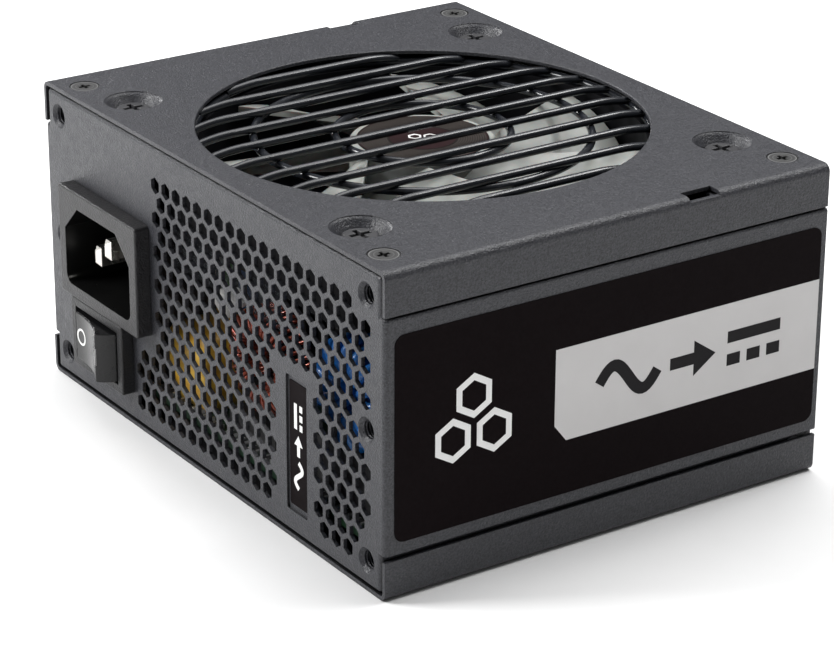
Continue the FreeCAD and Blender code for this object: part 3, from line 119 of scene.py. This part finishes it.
class Graph:
    """A short way to build a node material round one Principled shader."""

    def __init__(self, name):
        self.material = bpy.data.materials.new(name)
        self.material.use_nodes = True
        self.tree = self.material.node_tree
        self.shader = self.tree.nodes["Principled BSDF"]
        self.place = None

    def node(self, kind, settings=(), **inputs):
        node = self.tree.nodes.new(kind)
        for key, value in dict(settings).items():
            setattr(node, key, value)
        for key, value in inputs.items():
            self.put(node.inputs[int(key[1:]) if key[0] == "i" and key[1:].isdigit() else key], value)
        return node

    def put(self, socket, value):
        if isinstance(value, bpy.types.NodeSocket):
            self.tree.links.new(value, socket)
        elif isinstance(value, bpy.types.Node):
            self.tree.links.new(value.outputs[0], socket)
        else:
            socket.default_value = value

    def set(self, socket, value):
        self.put(self.shader.inputs[socket], value)

    def coordinates(self):
        if self.place is None:
            self.place = self.node("ShaderNodeTexCoord").outputs["Object"]
        return self.place

    def noise(self, size, detail=2.0, rough=0.5):
        """Noise whose features are about size metres."""
        return self.node("ShaderNodeTexNoise", Vector=self.coordinates(), Scale=1 / size, Detail=detail,
                         Roughness=rough).outputs["Fac"]

    def ramp(self, factor, stops):
        """Colours at positions along a 0 to 1 factor."""
        node = self.node("ShaderNodeValToRGB", Fac=factor)
        points = node.color_ramp.elements
        while len(points) < len(stops):
            points.new(0.5)
        for point, (position, colour) in zip(points, stops):
            point.position = position
            point.color = (*colour, 1) if len(colour) == 3 else colour
        return node.outputs["Color"]

    def maths(self, operation, first, second=0.0, third=0.0):
        return self.node("ShaderNodeMath", {"operation": operation}, i0=first, i1=second,
                         i2=third).outputs[0]

    def vectors(self, operation, first, second=(0, 0, 0)):
        return self.node("ShaderNodeVectorMath", {"operation": operation}, i0=first, i1=second)

    def bump(self, height, distance, strength=1.0, normal=None):
        node = self.node("ShaderNodeBump", Height=height, Distance=distance, Strength=strength)
        if normal is not None:
            self.put(node.inputs["Normal"], normal)
        return node.outputs["Normal"]

    def soft_edges(self, radius):
        return self.node("ShaderNodeBevel", {"samples": 4}, Radius=radius).outputs["Normal"]


def shade(colour, factor):
    return tuple(min(1.0, part * factor) for part in colour)


def simple_material(name, colour, roughness, metallic=0.0, grain=0.0006, depth=0.00001, spread=0.08,
                    edge=0.0, **sockets):
    """Colour that varies a little, a fine grain and optional rounded-looking edges."""
    swing = 0.12
    g = Graph(name)
    g.set("Base Color", g.ramp(g.noise(grain * 12, 4), [(0.3, shade(colour, 1 - spread)),
                                                        (0.7, shade(colour, 1 + spread))]))
    g.set("Roughness", g.maths("MULTIPLY_ADD", g.noise(grain * 5, 3), swing, roughness - swing / 2))
    normal = g.soft_edges(edge) if edge else None
    g.set("Normal", g.bump(g.noise(grain), depth, 0.5, normal))
    g.set("Metallic", metallic)
    for key, value in sockets.items():
        g.set(key.replace("_", " "), value)
    return g.material


def case_paint():
    """Dark grey powder coat: a fine pebbled skin over folded sheet, with painted shade darkening it where the
    sheets meet and in narrow gaps.
    """
    shade_reach = 0.0011
    g = Graph("case_paint")
    skin = g.ramp(g.noise(0.0004, 3, 0.6), [(0.36, (0.016, 0.0165, 0.020)),
                                            (0.66, (0.048, 0.049, 0.057))])
    # Painted shade: an ambient occlusion factor darkens the base colour where surfaces crowd in, standing in
    # for the shade in gaps and along folds.
    openness = g.node("ShaderNodeAmbientOcclusion", {"samples": 6}, Distance=shade_reach).outputs["AO"]
    seam_shade = g.ramp(openness, [(0.35, (0.02,) * 3), (0.75, (1,) * 3)])
    g.set("Base Color", g.vectors("MULTIPLY", skin, seam_shade))
    g.set("Roughness", g.ramp(g.noise(0.0015, 3), [(0.3, (0.30,) * 3), (0.7, (0.44,) * 3)]))
    coarse = g.bump(g.noise(0.0009, 2, 0.5), 0.00006, 0.35, g.soft_edges(0.0002))
    g.set("Normal", g.bump(g.noise(0.00036, 2, 0.6), 0.00022, 0.8, coarse))
    g.set("Specular IOR Level", 0.4)
    return g.material


def screws_with_painted_rings(node, head):
    """Blackened screw heads of radius head, with painted rings: the bright inner ring and rim are painted
    highlight, and the dark outer ring is painted shade in the gap round the head. They sit alike in the
    node's corners.
    """
    g = Graph("screws_with_painted_rings")
    low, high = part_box(node)
    reach = (high - low) / 2 - Vector((head, head, 0))
    corner = g.vectors("ABSOLUTE", g.vectors("SUBTRACT", g.coordinates(), (low + high) / 2))
    plan = g.vectors("MULTIPLY", g.vectors("SUBTRACT", corner, reach), (1, 1, 0))
    radius = g.vectors("LENGTH", plan).outputs["Value"]
    # Brightness by share of the radius: the bright stops are painted highlight, the dark stops towards the
    # edge painted shade.
    rings = [(0.0, 0.03), (0.54, 0.035), (0.60, 0.10), (0.66, 0.02), (0.74, 0.045), (0.83, 0.05),
             (0.88, 0.20), (0.92, 0.012), (1.0, 0.004)]
    g.set("Base Color", g.ramp(g.maths("DIVIDE", radius, head),
                               [(share, (level,) * 3) for share, level in rings]))
    g.set("Roughness", g.ramp(g.noise(0.0012, 3), [(0.3, (0.34,) * 3), (0.7, (0.46,) * 3)]))
    g.set("Normal", g.bump(g.noise(0.0004), 0.00002, 0.5, g.soft_edges(0.0002)))
    g.set("Specular IOR Level", 0.4)
    return g.material


def film_black():
    """Satin black printing film with a faint warm mottle."""
    g = Graph("film_black")
    g.set("Base Color", g.ramp(g.noise(0.0007, 4, 0.7), [(0.3, (0.0032, 0.0015, 0.0018)),
                                                         (0.7, (0.0060, 0.0036, 0.0042))]))
    g.set("Roughness", g.ramp(g.noise(0.003, 3), [(0.3, (0.42,) * 3), (0.7, (0.5,) * 3)]))
    g.set("Specular IOR Level", 0.03)
    g.set("Normal", g.bump(g.noise(0.0005, 2), 0.000008, 0.5))
    return g.material


def tape_yellow():
    """Polyester tape wrapped in layers: faint lines where the layers lap, and small wrinkles."""
    g = Graph("tape_yellow")
    lines = g.node("ShaderNodeTexWave", {"bands_direction": "Z"}, Vector=g.coordinates(), Scale=55,
                   Distortion=1.2, Detail=2)
    g.set("Base Color", g.ramp(lines.outputs["Fac"], [(0.1, (0.58, 0.32, 0.03)), (0.6, (0.80, 0.50, 0.06))]))
    g.set("Roughness", g.ramp(g.noise(0.003, 3), [(0.3, (0.28,) * 3), (0.7, (0.42,) * 3)]))
    g.set("Normal", g.bump(g.noise(0.0025, 3), 0.0002, 0.5))
    return g.material


def enamel_copper():
    """Enamelled wire: a red-brown varnish over copper."""
    g = Graph("enamel_copper")
    g.set("Base Color", g.ramp(g.noise(0.004, 3), [(0.3, (0.17, 0.026, 0.014)), (0.7, (0.40, 0.085, 0.045))]))
    g.set("Roughness", g.ramp(g.noise(0.002, 2), [(0.3, (0.22,) * 3), (0.7, (0.34,) * 3)]))
    g.set("Normal", g.bump(g.noise(0.0012), 0.00002, 0.4))
    g.set("Metallic", 0.6)
    g.set("Coat Weight", 0.5)
    return g.material


def blue_sleeve():
    """Glossy blue sleeving; its palest colour stop is painted highlight, pale patches standing in for the
    bright stripes along the turns.
    """
    g = Graph("blue_sleeve")
    # The last, palest stop is painted highlight.
    g.set("Base Color", g.ramp(g.noise(0.0022, 3, 0.6), [(0.25, (0.010, 0.09, 0.33)),
                                                         (0.62, (0.025, 0.18, 0.55)),
                                                         (0.8, (0.14, 0.32, 0.62))]))
    g.set("Roughness", g.ramp(g.noise(0.002, 2), [(0.3, (0.2,) * 3), (0.7, (0.34,) * 3)]))
    g.set("Normal", g.bump(g.noise(0.0012), 0.00003, 0.4))
    g.set("Coat Weight", 0.4)
    return g.material


def frosted_plastic():
    """Pale translucent moulding of the fan rotor, a little cloudy."""
    g = Graph("rotor_plastic")
    g.set("Base Color", g.ramp(g.noise(0.006, 3), [(0.3, (0.25, 0.26, 0.245)), (0.7, (0.32, 0.33, 0.31))]))
    g.set("Roughness", g.ramp(g.noise(0.002, 3), [(0.3, (0.36,) * 3), (0.7, (0.46,) * 3)]))
    g.set("Normal", g.bump(g.noise(0.0006), 0.00001, 0.4, g.soft_edges(0.00015)))
    g.set("Subsurface Weight", 0.12)
    g.set("Subsurface Scale", 0.002)
    return g.material


def glossy_wire():
    """Black dipped wire with slight waves in the gloss."""
    g = Graph("grille_wire")
    g.set("Base Color", g.ramp(g.noise(0.003, 3), [(0.3, (0.010, 0.011, 0.014)),
                                                   (0.7, (0.016, 0.018, 0.023))]))
    g.set("Roughness", g.ramp(g.noise(0.004, 3), [(0.3, (0.20,) * 3), (0.7, (0.27,) * 3)]))
    g.set("Normal", g.bump(g.noise(0.0011, 2), 0.00001, 0.2))
    g.set("Specular IOR Level", 0.36)
    g.set("Coat Weight", 0.08)
    g.set("Coat Roughness", 0.1)
    return g.material


def grey_film():
    """Thin smoky film, mostly seen through."""
    g = Graph("smoky_film")
    g.set("Base Color", g.ramp(g.noise(0.01, 3), [(0.3, (0.10, 0.11, 0.12)), (0.7, (0.16, 0.17, 0.18))]))
    g.set("Roughness", g.ramp(g.noise(0.006, 3), [(0.3, (0.3,) * 3), (0.7, (0.42,) * 3)]))
    g.set("Normal", g.bump(g.noise(0.012, 2), 0.0003, 0.5))
    g.set("Specular IOR Level", 0.1)
    g.set("Alpha", 0.1)
    return g.material


def board_green():
    """Solder mask with tracks just visible under it."""
    g = Graph("board_laminate")
    cells = g.node("ShaderNodeTexBrick", Vector=g.coordinates(), Scale=260, Color1=(0.006, 0.022, 0.01, 1),
                   Color2=(0.009, 0.030, 0.014, 1), Mortar=(0.016, 0.05, 0.022, 1))
    cells.inputs["Mortar Size"].default_value = 0.03
    g.set("Base Color", cells.outputs["Color"])
    g.set("Roughness", g.ramp(g.noise(0.004, 3), [(0.3, (0.3,) * 3), (0.7, (0.42,) * 3)]))
    g.set("Normal", g.bump(cells.outputs["Fac"], 0.00003, 0.4))
    return g.material


# ---------------------------------------------------------------- mesh tools

class Solids:
    """Closed solids collected into one mesh piece."""

    def __init__(self):
        self.mesh = bmesh.new()

    def loft(self, rings, closed=False, caps=True):
        """Skin over rings of points, each with the same number of points."""
        rows = [[self.mesh.verts.new(point) for point in ring] for ring in rings]
        count = len(rows[0])
        pairs = list(zip(rows, rows[1:] + rows[:1] if closed else rows[1:]))
        for low, high in pairs:
            for i in range(count):
                j = (i + 1) % count
                self.mesh.faces.new((low[i], low[j], high[j], high[i]))
        if caps and not closed:
            self.mesh.faces.new(rows[0][::-1])
            self.mesh.faces.new(rows[-1])

    def prism(self, outline, place, low, high):
        """Flat plate: the outline's points (u, v) between two heights, set in space by place."""
        self.loft([[place(u, v, height) for u, v in outline] for height in (low, high)])

    def band(self, inner, outer, place, low, high):
        """Flat plate between two outlines that have the same number of points."""
        loops = [(outer, low), (outer, high), (inner, high), (inner, low)]
        self.loft([[place(u, v, height) for u, v in outline] for outline, height in loops], closed=True)

    def box(self, low, high):
        corners = [(low[0], low[1]), (high[0], low[1]), (high[0], high[1]), (low[0], high[1])]
        self.prism(corners, lambda u, v, w: (u, v, w), low[2], high[2])

    def tube(self, path, radius, sides=8, closed=False):
        """Round wire along a smooth path of many points."""
        rings = []
        count = len(path)
        side = None
        for i, point in enumerate(path):
            after = path[(i + 1) % count] if closed or i + 1 < count else point
            before = path[i - 1] if closed or i else point
            along = (after - before).normalized()
            side = (side - along * side.dot(along)).normalized() if side else along.orthogonal().normalized()
            up = along.cross(side)
            rings.append([point + (side * math.cos(t) + up * math.sin(t)) * radius
                          for t in (2 * math.pi * k / sides for k in range(sides))])
        self.loft(rings, closed=closed)

    def piece(self, name, material, body, slot, smooth=False, nodes=()):
        bmesh.ops.recalc_face_normals(self.mesh, faces=self.mesh.faces)
        mesh = bpy.data.meshes.new(name)
        self.mesh.to_mesh(mesh)
        self.mesh.free()
        for face in mesh.polygons:
            face.use_smooth = smooth
        mesh.materials.append(material)
        piece = bpy.data.objects.new(name, mesh)
        bpy.context.collection.objects.link(piece)
        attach(piece, body)
        if nodes:
            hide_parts(*nodes)
        return piece


def polygon(radius, sides, middle=(0, 0), turn=0.0):
    return [(middle[0] + radius * math.cos(turn + 2 * math.pi * k / sides),
             middle[1] + radius * math.sin(turn + 2 * math.pi * k / sides)) for k in range(sides)]


def round_rectangle(low, high, radius, steps=6):
    corners = [(high[0] - radius, high[1] - radius, 0), (low[0] + radius, high[1] - radius, 1),
               (low[0] + radius, low[1] + radius, 2), (high[0] - radius, low[1] + radius, 3)]
    return [(x + radius * math.cos(math.pi / 2 * (quarter + k / steps)),
             y + radius * math.sin(math.pi / 2 * (quarter + k / steps)))
            for x, y, quarter in corners for k in range(steps + 1)]


def stroke(line, width):
    """Outline of a drawn line of even width."""
    left, right = [], []
    for i, (u, v) in enumerate(line):
        before, after = line[max(i - 1, 0)], line[min(i + 1, len(line) - 1)]
        du, dv = after[0] - before[0], after[1] - before[1]
        length = math.hypot(du, dv)
        shift = (-dv / length * width / 2, du / length * width / 2)
        left.append((u + shift[0], v + shift[1]))
        right.append((u - shift[0], v - shift[1]))
    return left + right[::-1]


def bar(u, v, width, height):
    return [(u, v), (u + width, v), (u + width, v + height), (u, v + height)]


# ---------------------------------------------------------------- labels

FILM, INK, TOP_INK = 0.00012, 0.000135, 0.00015
SIGN_SIZE, SIGN_START, SIGN_INSET = 8.0 * MM, -3.2 * MM, 10.2 * MM
STRIPE = {"start": -13.2 * MM, "low": 22.1 * MM, "high": 40.6 * MM, "cut": 2.7 * MM, "cut_rise": 1.26}
MARK = {"place": 31.1 * MM, "drop": 0.4 * MM, "size": 4.8 * MM}
BADGE = {"round": 0.4 * MM, "sign": 3.2 * MM, "foot": 3.8 * MM}


def pictogram(height):
    """Outlines, about a height of 0, of the signs for alternating current, an arrow and direct current."""
    wave = [(height * 0.07 * k, height * 0.38 * math.sin(2 * math.pi * k / 24)) for k in range(25)]
    arrow = [(2.05, -0.15), (2.75, -0.15), (2.75, -0.45), (3.4, 0), (2.75, 0.45), (2.75, 0.15), (2.05, 0.15)]
    signs = [stroke(wave, height * 0.3), [(u * height, v * height) for u, v in arrow],
             bar(height * 3.75, height * 0.14, height * 1.6, height * 0.3)]
    return signs + [bar(height * (3.75 + 0.6 * k), -height * 0.44, height * 0.4, height * 0.3)
                    for k in range(3)]


def honeycomb(solids, place, centre, size, low, high):
    """Three hexagonal cells round a corner."""
    spacing, hole, rim = size * 1.08, size * 0.62, size * 0.92
    turn = math.radians(30)
    for k in range(3):
        angle = math.radians(90 + 120 * k)
        middle = (centre[0] + spacing * math.cos(angle), centre[1] + spacing * math.sin(angle))
        solids.band(polygon(hole, 6, middle, turn), polygon(rim, 6, middle, turn), place, low, high)


def side_label(side, name):
    """Printed film on one side wall; side is +1 on the right and -1 on the left."""
    low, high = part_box(name)
    face = low.x if side > 0 else high.x

    def place(u, v, w):
        return face + side * w, side * u, v

    start, end = (low.y, high.y) if side > 0 else (-high.y, -low.y)
    film = Solids()
    corner = 2 * MM
    film.prism(round_rectangle((start, low.z), (end, high.z), corner), place, 0, FILM)
    film.piece(name + "_film", LOOKS["film_black"], "chassis", "label_film", nodes=[name])
    stripe = Solids()
    left = STRIPE["start"] if side > 0 else start
    right = end if side > 0 else -STRIPE["start"]
    outline = [(right, STRIPE["low"]), (right, STRIPE["high"]), (left, STRIPE["high"])]
    outline += [(left, STRIPE["low"] + STRIPE["cut"] * STRIPE["cut_rise"]),
                (left + STRIPE["cut"], STRIPE["low"])]
    stripe.prism(outline, place, FILM, INK)
    stripe.piece(name + "_stripe", LOOKS["ink_grey"], "chassis", "label_film")
    signs = Solids()
    middle = (STRIPE["low"] + STRIPE["high"]) / 2
    shift = SIGN_START if side > 0 else start + SIGN_INSET
    for outline in pictogram(SIGN_SIZE):
        signs.prism([(u + shift, v + middle) for u, v in outline], place, INK, TOP_INK)
    signs.piece(name + "_signs", LOOKS["ink_black"], "chassis", "label_film")
    mark = Solids()
    honeycomb(mark, place, (-side * MARK["place"], middle - MARK["drop"]), MARK["size"], FILM, INK)
    mark.piece(name + "_mark", LOOKS["ink_white"], "chassis", "label_film")


def badge_label():
    """Small upright label on the vent wall."""
    low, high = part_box("badge_label")

    def place(u, v, w):
        return u, high.y - w, v

    film = Solids()
    film.prism(round_rectangle((low.x, low.z), (high.x, high.z), BADGE["round"], 3), place, 0, FILM)
    film.piece("badge_film", LOOKS["film_black"], "chassis", "label_film", nodes=["badge_label"])
    signs = Solids()
    middle = (low.x + high.x) / 2

    def upright(u, v, w):
        return place(middle - v, u + low.z + BADGE["foot"], w)

    for outline in pictogram(BADGE["sign"]):
        signs.prism(outline, upright, FILM, TOP_INK)
    signs.piece("badge_signs", LOOKS["ink_white"], "chassis", "label_film")


def hub_print():
    """Rings printed on the hub sticker, with a plain mark in the middle."""
    low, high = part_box("hub_sticker")
    radius = (high.x - low.x) / 2
    thick, sides = 0.02 * MM, 96

    def place(u, v, w):
        return u, v, high.z + w

    rings = Solids()
    first, last, count, half_width = radius * 0.55, radius * 0.95, 12, 0.14 * MM
    for k in range(count):
        middle = first + (last - first) * k / (count - 1)
        rings.band(polygon(middle - half_width, sides), polygon(middle + half_width, sides), place, 0, thick)
    rings.piece("hub_rings", LOOKS["ink_brown"], "fan_rotor", "hub_film")
    disc = Solids()
    disc.prism(polygon(radius * 0.5, sides), place, 0, thick)
    disc.band(polygon(radius * 0.965, sides), polygon(radius * 0.985, sides), place, 0, thick)
    disc.piece("hub_disc", LOOKS["ink_maroon"], "fan_rotor", "hub_film")
    mark, mark_size = Solids(), 1.6 * MM
    honeycomb(mark, place, (0, 0), mark_size, thick, thick * 2)
    mark.piece("hub_mark", LOOKS["ink_white"], "fan_rotor", "hub_film")


def rocker_marks():
    """The two generic switch signs, laid on the rocker's curved face."""
    rocker = NODES["switch_rocker"]
    low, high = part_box("switch_rocker")
    pivot, height = (low.x + high.x) / 2, (low.z + high.z) / 2
    reach, tall, line = 5.2 * MM, 3.6 * MM, 0.45 * MM
    sunk, proud, sides = -0.02 * MM, 0.03 * MM, 40

    def place(u, v, w):
        hit, point, _, _ = rocker.ray_cast(Vector((u, low.y - 10 * MM, v)), Vector((0, 1, 0)))
        return (u, point.y - w, v) if hit else (u, low.y, v)

    marks = Solids()
    off = (pivot - reach, height)
    marks.band(polygon(tall / 2 - line, sides, off), polygon(tall / 2, sides, off), place, sunk, proud)
    width = 0.48 * MM
    marks.prism(bar(pivot + reach - width / 2, height - tall / 2, width, tall), place, sunk, proud)
    marks.piece("rocker_marks", LOOKS["ink_white"], "rocker", "switch_plastic")


# ---------------------------------------------------------------- windings, tape and small parts

# Wound rings: axis of the ring, wire radius, turns, look, slot and the ring's wall as a share of its width.
CHOKES = {
    "line_choke": (1, 0.42 * MM, 42, "enamel_copper", "copper_wire", 0.185),
    "filter_choke": (1, 1.0 * MM, 17, "blue_sleeve", "blue_wire", 0.185),
    "boost_choke": (2, 0.75 * MM, 24, "enamel_copper", "copper_wire", 0.195),
}
CHOKE_SWEEP, CHOKE_START = math.radians(340), math.radians(250)


def wound_choke(name):
    """One wire laid turn by turn round a ring core."""
    axis, wire, turns, look, slot, wall = CHOKES[name]
    low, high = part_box(name + "_core")
    centre = (low + high) / 2
    width, clearance, squareness, steps = high[0] - low[0], wire * 1.15, 0.55, 22
    along = (high[axis] - low[axis]) / 2 + clearance
    inner, outer = width / 2 - width * wall - clearance, width / 2 + clearance
    middle, half = (inner + outer) / 2, (outer - inner) / 2
    path = []
    for k in range(turns * steps + 1):
        turn = 2 * math.pi * k / steps
        angle = CHOKE_SWEEP * k / (turns * steps) + CHOKE_START
        across, up = math.cos(turn), math.sin(turn)
        radius = middle + half * math.copysign(abs(across) ** squareness, across)
        height = along * math.copysign(abs(up) ** squareness, up)
        u, v = radius * math.cos(angle), radius * math.sin(angle)
        path.append(centre + (Vector((u, height, v)) if axis == 1 else Vector((u, v, height))))
    solids = Solids()
    solids.tube(path, wire, 8)
    solids.piece(name + "_turns", LOOKS[look], "chassis", slot, smooth=True, nodes=[name + "_winding"])


def taped_block(name, bulge, look, slot, sideways=0.0, lower=0.0):
    """A part wrapped in tape: soft corners and slightly swollen faces, set a little off its block."""
    low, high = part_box(name)
    low.x, high.x, high.z = low.x + sideways, high.x + sideways, high.z - lower
    half = (high - low) / 2
    centre = (low + high) / 2
    levels, end_inset, corner = 9, 0.6 * MM, 1.2 * MM
    rings = []
    for k in range(levels):
        t = -1 + 2 * k / (levels - 1)
        shrink = bulge * t * t + (end_inset if abs(t) == 1 else 0.0)
        width, depth = half.x - shrink, half.y - shrink
        outline = round_rectangle((-width, -depth), (width, depth), corner, 4)
        rings.append([centre + Vector((u, v, t * half.z)) for u, v in outline])
    solids = Solids()
    solids.loft(rings)
    solids.piece(name + "_taped", LOOKS[look], "chassis", slot, smooth=True, nodes=[name])


def thread_rings():
    """Thread crests inside the tapped holes of the vent wall."""
    record = {mount["name"]: mount for mount in frame["record"]["mounts"]}
    solids = Solids()
    pitch, crest, crests, sides = 0.6 * MM, 0.22 * MM, 4, 40
    inset, gap = 0.2 * MM, 0.01 * MM
    corners = record["wall_bolts"]
    x, z = (corners["dims"][key] / 2 * MM for key in ("spacing_x_mm", "spacing_y_mm"))
    radius = corners["dims"]["hole_r_mm"] * MM - gap
    start, level = corners["pos_m"][1] + inset, corners["pos_m"][2]
    for side in (-1, 1):
        for rise in (-z, 0, z):
            for k in range(crests):
                y = start + k * pitch
                loops = [(radius, y), (radius - crest, y + pitch / 2), (radius, y + pitch)]
                solids.loft([[(side * x + u, depth, level + rise + v) for u, v in polygon(r, sides)]
                             for r, depth in loops], closed=True)
    solids.piece("mount_threads", LOOKS["case_paint"], "chassis", "case_paint", smooth=True)


def glue(places):
    """Blobs of silicone that hold the tall parts."""
    random.seed(7)
    solids = Solids()
    for place, size in places:
        sides, levels = 14, 8
        phase = [random.uniform(0, 2 * math.pi) for _ in range(3)]
        rings = []
        for k in range(levels + 1):
            t = math.pi * (0.06 + 0.88 * k / levels)
            ring = []
            for j in range(sides):
                a = 2 * math.pi * j / sides
                swell = 1 + 0.16 * math.sin(2 * a + phase[0]) + 0.1 * math.sin(3 * a + 2 * t + phase[1])
                reach = size * math.sin(t) * swell
                ring.append(Vector(place) + Vector((reach * math.cos(a), reach * 0.5 * math.sin(a),
                                                    -size * 0.8 * math.cos(t))))
            rings.append(ring)
        solids.loft(rings)
    solids.piece("glue_blobs", LOOKS["glue"], "chassis", "clear_film", smooth=True)


def board_parts():
    """Small parts along the front of the board: bodies, pale end caps and printed lines."""
    random.seed(11)
    low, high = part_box("main_board")
    bodies, ends, lines = Solids(), Solids(), Solids()
    step, margin, jitter, front = 4.6 * MM, 6 * MM, 0.6 * MM, (0.8 * MM, 1.2 * MM)
    length, depth, height, cap = 2.6 * MM, 1.2 * MM, 0.7 * MM, 0.5 * MM
    for k in range(int((high.x - low.x - 10 * MM) / step)):
        x = low.x + margin + k * step + random.uniform(-jitter, jitter)
        y = low.y + random.uniform(*front)
        bodies.box((x + cap, y, high.z), (x + length - cap, y + depth, high.z + height))
        for left in (x, x + length - cap):
            ends.box((left, y, high.z), (left + cap, y + depth, high.z + height * 1.08))
        lines.box((x - 1.2 * MM, y, high.z), (x - 0.6 * MM, y + 2 * depth, high.z + 0.03 * MM))
    bodies.piece("chip_bodies", LOOKS["chip"], "chassis", "component_black")
    ends.piece("chip_ends", LOOKS["solder"], "chassis", "can_aluminium")
    lines.piece("board_lines", LOOKS["ink_white"], "chassis", "board_laminate")


# ---------------------------------------------------------------- looks of every part

def make_looks():
    ink = {"grain": 0.0006, "depth": 0.000004}
    return {
        "case_paint": case_paint(),
        "film_black": film_black(),
        "tape_yellow": tape_yellow(),
        "enamel_copper": enamel_copper(),
        "blue_sleeve": blue_sleeve(),
        "ink_grey": simple_material("ink_grey", (0.59, 0.578, 0.575), 0.5, spread=0.02, **ink),
        "ink_black": simple_material("ink_black", (0.010, 0.009, 0.010), 0.5, Specular_IOR_Level=0.1, **ink),
        "ink_white": simple_material("ink_white", (0.80, 0.80, 0.79), 0.45, spread=0.04, **ink),
        "ink_brown": simple_material("ink_brown", (0.036, 0.030, 0.027), 0.5, Specular_IOR_Level=0.1, **ink),
        "ink_maroon": simple_material("ink_maroon", (0.014, 0.004, 0.005), 0.5, Specular_IOR_Level=0.1,
                                      **ink),
        "glue": simple_material("silicone", (0.42, 0.41, 0.40), 0.5, grain=0.002, depth=0.0001),
        "chip": simple_material("chip_body", (0.015, 0.015, 0.016), 0.5),
        "solder": simple_material("solder", (0.55, 0.55, 0.56), 0.35, 0.9),
    }


def paint(material, *names):
    """Give carried-over CAD nodes a material."""
    for name in names:
        mesh = NODES[name].data
        mesh.materials.clear()
        mesh.materials.append(material)


def paint_inside(name, low, high, material):
    """Give the faces of a node whose middles lie within a box another material."""
    mesh = NODES[name].data
    mesh.materials.append(material)
    for face in mesh.polygons:
        if all(a < c < b for a, c, b in zip(low, face.center, high)):
            face.material_index = len(mesh.materials) - 1


def dress_cad_nodes():
    sockets = [name for name in NODES if name.startswith("socket_") and name != "socket_pins"]
    black_steel = simple_material("black_oxide", (0.045, 0.045, 0.048), 0.4, 0.2, edge=0.00035,
                                  Specular_IOR_Level=0.4)
    steel = simple_material("lamination", (0.3, 0.3, 0.31), 0.4, 1.0)
    pebbled = {"grain": 0.0004, "depth": 0.0004, "spread": 0.15, "edge": 0.0003,
               "Specular_IOR_Level": 0.36}
    moulded = simple_material("moulded_black", (0.012, 0.012, 0.013), 0.42, edge=0.00012)
    dark_core = simple_material("ferrite", (0.012, 0.012, 0.013), 0.6, grain=0.0004, Specular_IOR_Level=0.1)
    looks = [
        (LOOKS["case_paint"], ["top_cover", "bottom_tray", "main_frame", "connector_panel"]),
        (black_steel, ["tray_screws", "fan_screws", "board_screws"]),
        (screws_with_painted_rings("cover_screws", 3 * MM), ["cover_screws"]),
        (simple_material("rivet_aluminium", (0.6, 0.6, 0.62), 0.35, 1.0), ["panel_rivets"]),
        # Painted shade: the heatsinks' aluminium is given a near-black colour, for the shade they sit in
        # inside the case.
        (simple_material("heatsink_aluminium", (0.025, 0.025, 0.027), 0.5, 0.9, grain=0.0003),
         ["primary_heatsink", "secondary_heatsink"]),
        (simple_material("can_aluminium", (0.5, 0.5, 0.52), 0.35, 1.0), ["output_capacitors"]),
        (simple_material("fan_plastic", (0.005, 0.005, 0.006), 0.5, edge=0.0001, Specular_IOR_Level=0.06),
         ["fan_frame"]),
        (frosted_plastic(), ["rotor"]),
        (glossy_wire(), ["fan_grille"]),
        (simple_material("hub_film", (0.008, 0.006, 0.0055), 0.5, Specular_IOR_Level=0.08), ["hub_sticker"]),
        (simple_material("bronze", (0.4, 0.25, 0.1), 0.4, 1.0), ["fan_bearing"]),
        (steel, ["fan_stator", "rotor_shaft"]),
        (dark_core, ["rotor_magnet", "line_choke_core", "boost_choke_core", "transformer_core"]),
        (LOOKS["blue_sleeve"], ["filter_choke_core"]),
        (simple_material("inlet_plastic", (0.016, 0.0156, 0.017), 0.4, **pebbled), ["inlet_housing"]),
        (simple_material("nickel", (0.72, 0.70, 0.66), 0.28, 1.0, edge=0.0001), ["inlet_pins"]),
        (simple_material("switch_plastic", (0.012, 0.012, 0.013), 0.38, **pebbled), ["switch_frame"]),
        (simple_material("rocker_plastic", (0.006, 0.006, 0.0065), 0.26, edge=0.0003, Specular_IOR_Level=0.4),
         ["switch_rocker"]),
        (simple_material("terminal_brass", (0.6, 0.45, 0.2), 0.35, 1.0), ["switch_terminals", "standoffs"]),
        (simple_material("lead_brown", (0.12, 0.05, 0.02), 0.4), ["live_lead"]),
        (simple_material("lead_blue", (0.02, 0.08, 0.3), 0.4), ["neutral_lead"]),
        (simple_material("lead_green", (0.1, 0.3, 0.05), 0.4), ["earth_lead"]),
        (board_green(), ["main_board", "modular_board", "control_board"]),
        (moulded, ["insulation_sheet", "choke_bases", "relay", "bridge_rectifier", "power_transistors",
                   *sockets]),
        (simple_material("contact_gold", (0.7, 0.5, 0.2), 0.3, 1.0), ["socket_pins"]),
        (simple_material("can_sleeve", (0.01, 0.01, 0.02), 0.3), ["bulk_capacitor"]),
        (grey_film(), ["air_baffle"]),
    ]
    for material, names in looks:
        paint(material, *names)
    low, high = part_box("inlet_housing")
    rim = Vector((2, 0.6, 2)) * MM
    # Painted shade: faces inside the socket's recess get a darker, near-black plastic than the bezel, for the
    # shade that falls inside it.
    cavity_shade = simple_material("inlet_cavity", (0.004, 0.004, 0.004), 0.3, Specular_IOR_Level=0.3)
    paint_inside("inlet_housing", low + rim, high - rim, cavity_shade)


make_camera()
make_studio()
make_floor()
LOOKS = make_looks()
dress_cad_nodes()
side_label(1, "side_label_right")
side_label(-1, "side_label_left")
badge_label()
hub_print()
rocker_marks()
for choke in CHOKES:
    wound_choke(choke)
taped_block("x_capacitor", 0.0004, "tape_yellow", "capacitor_yellow", sideways=-0.0032, lower=0.0038)
taped_block("transformer_winding", 0.0004, "tape_yellow", "transformer_tape")
thread_rings()
glue([((-0.0015, -0.0440, 0.0345), 0.0034), ((0.0025, -0.0443, 0.0372), 0.0026)])
board_parts()
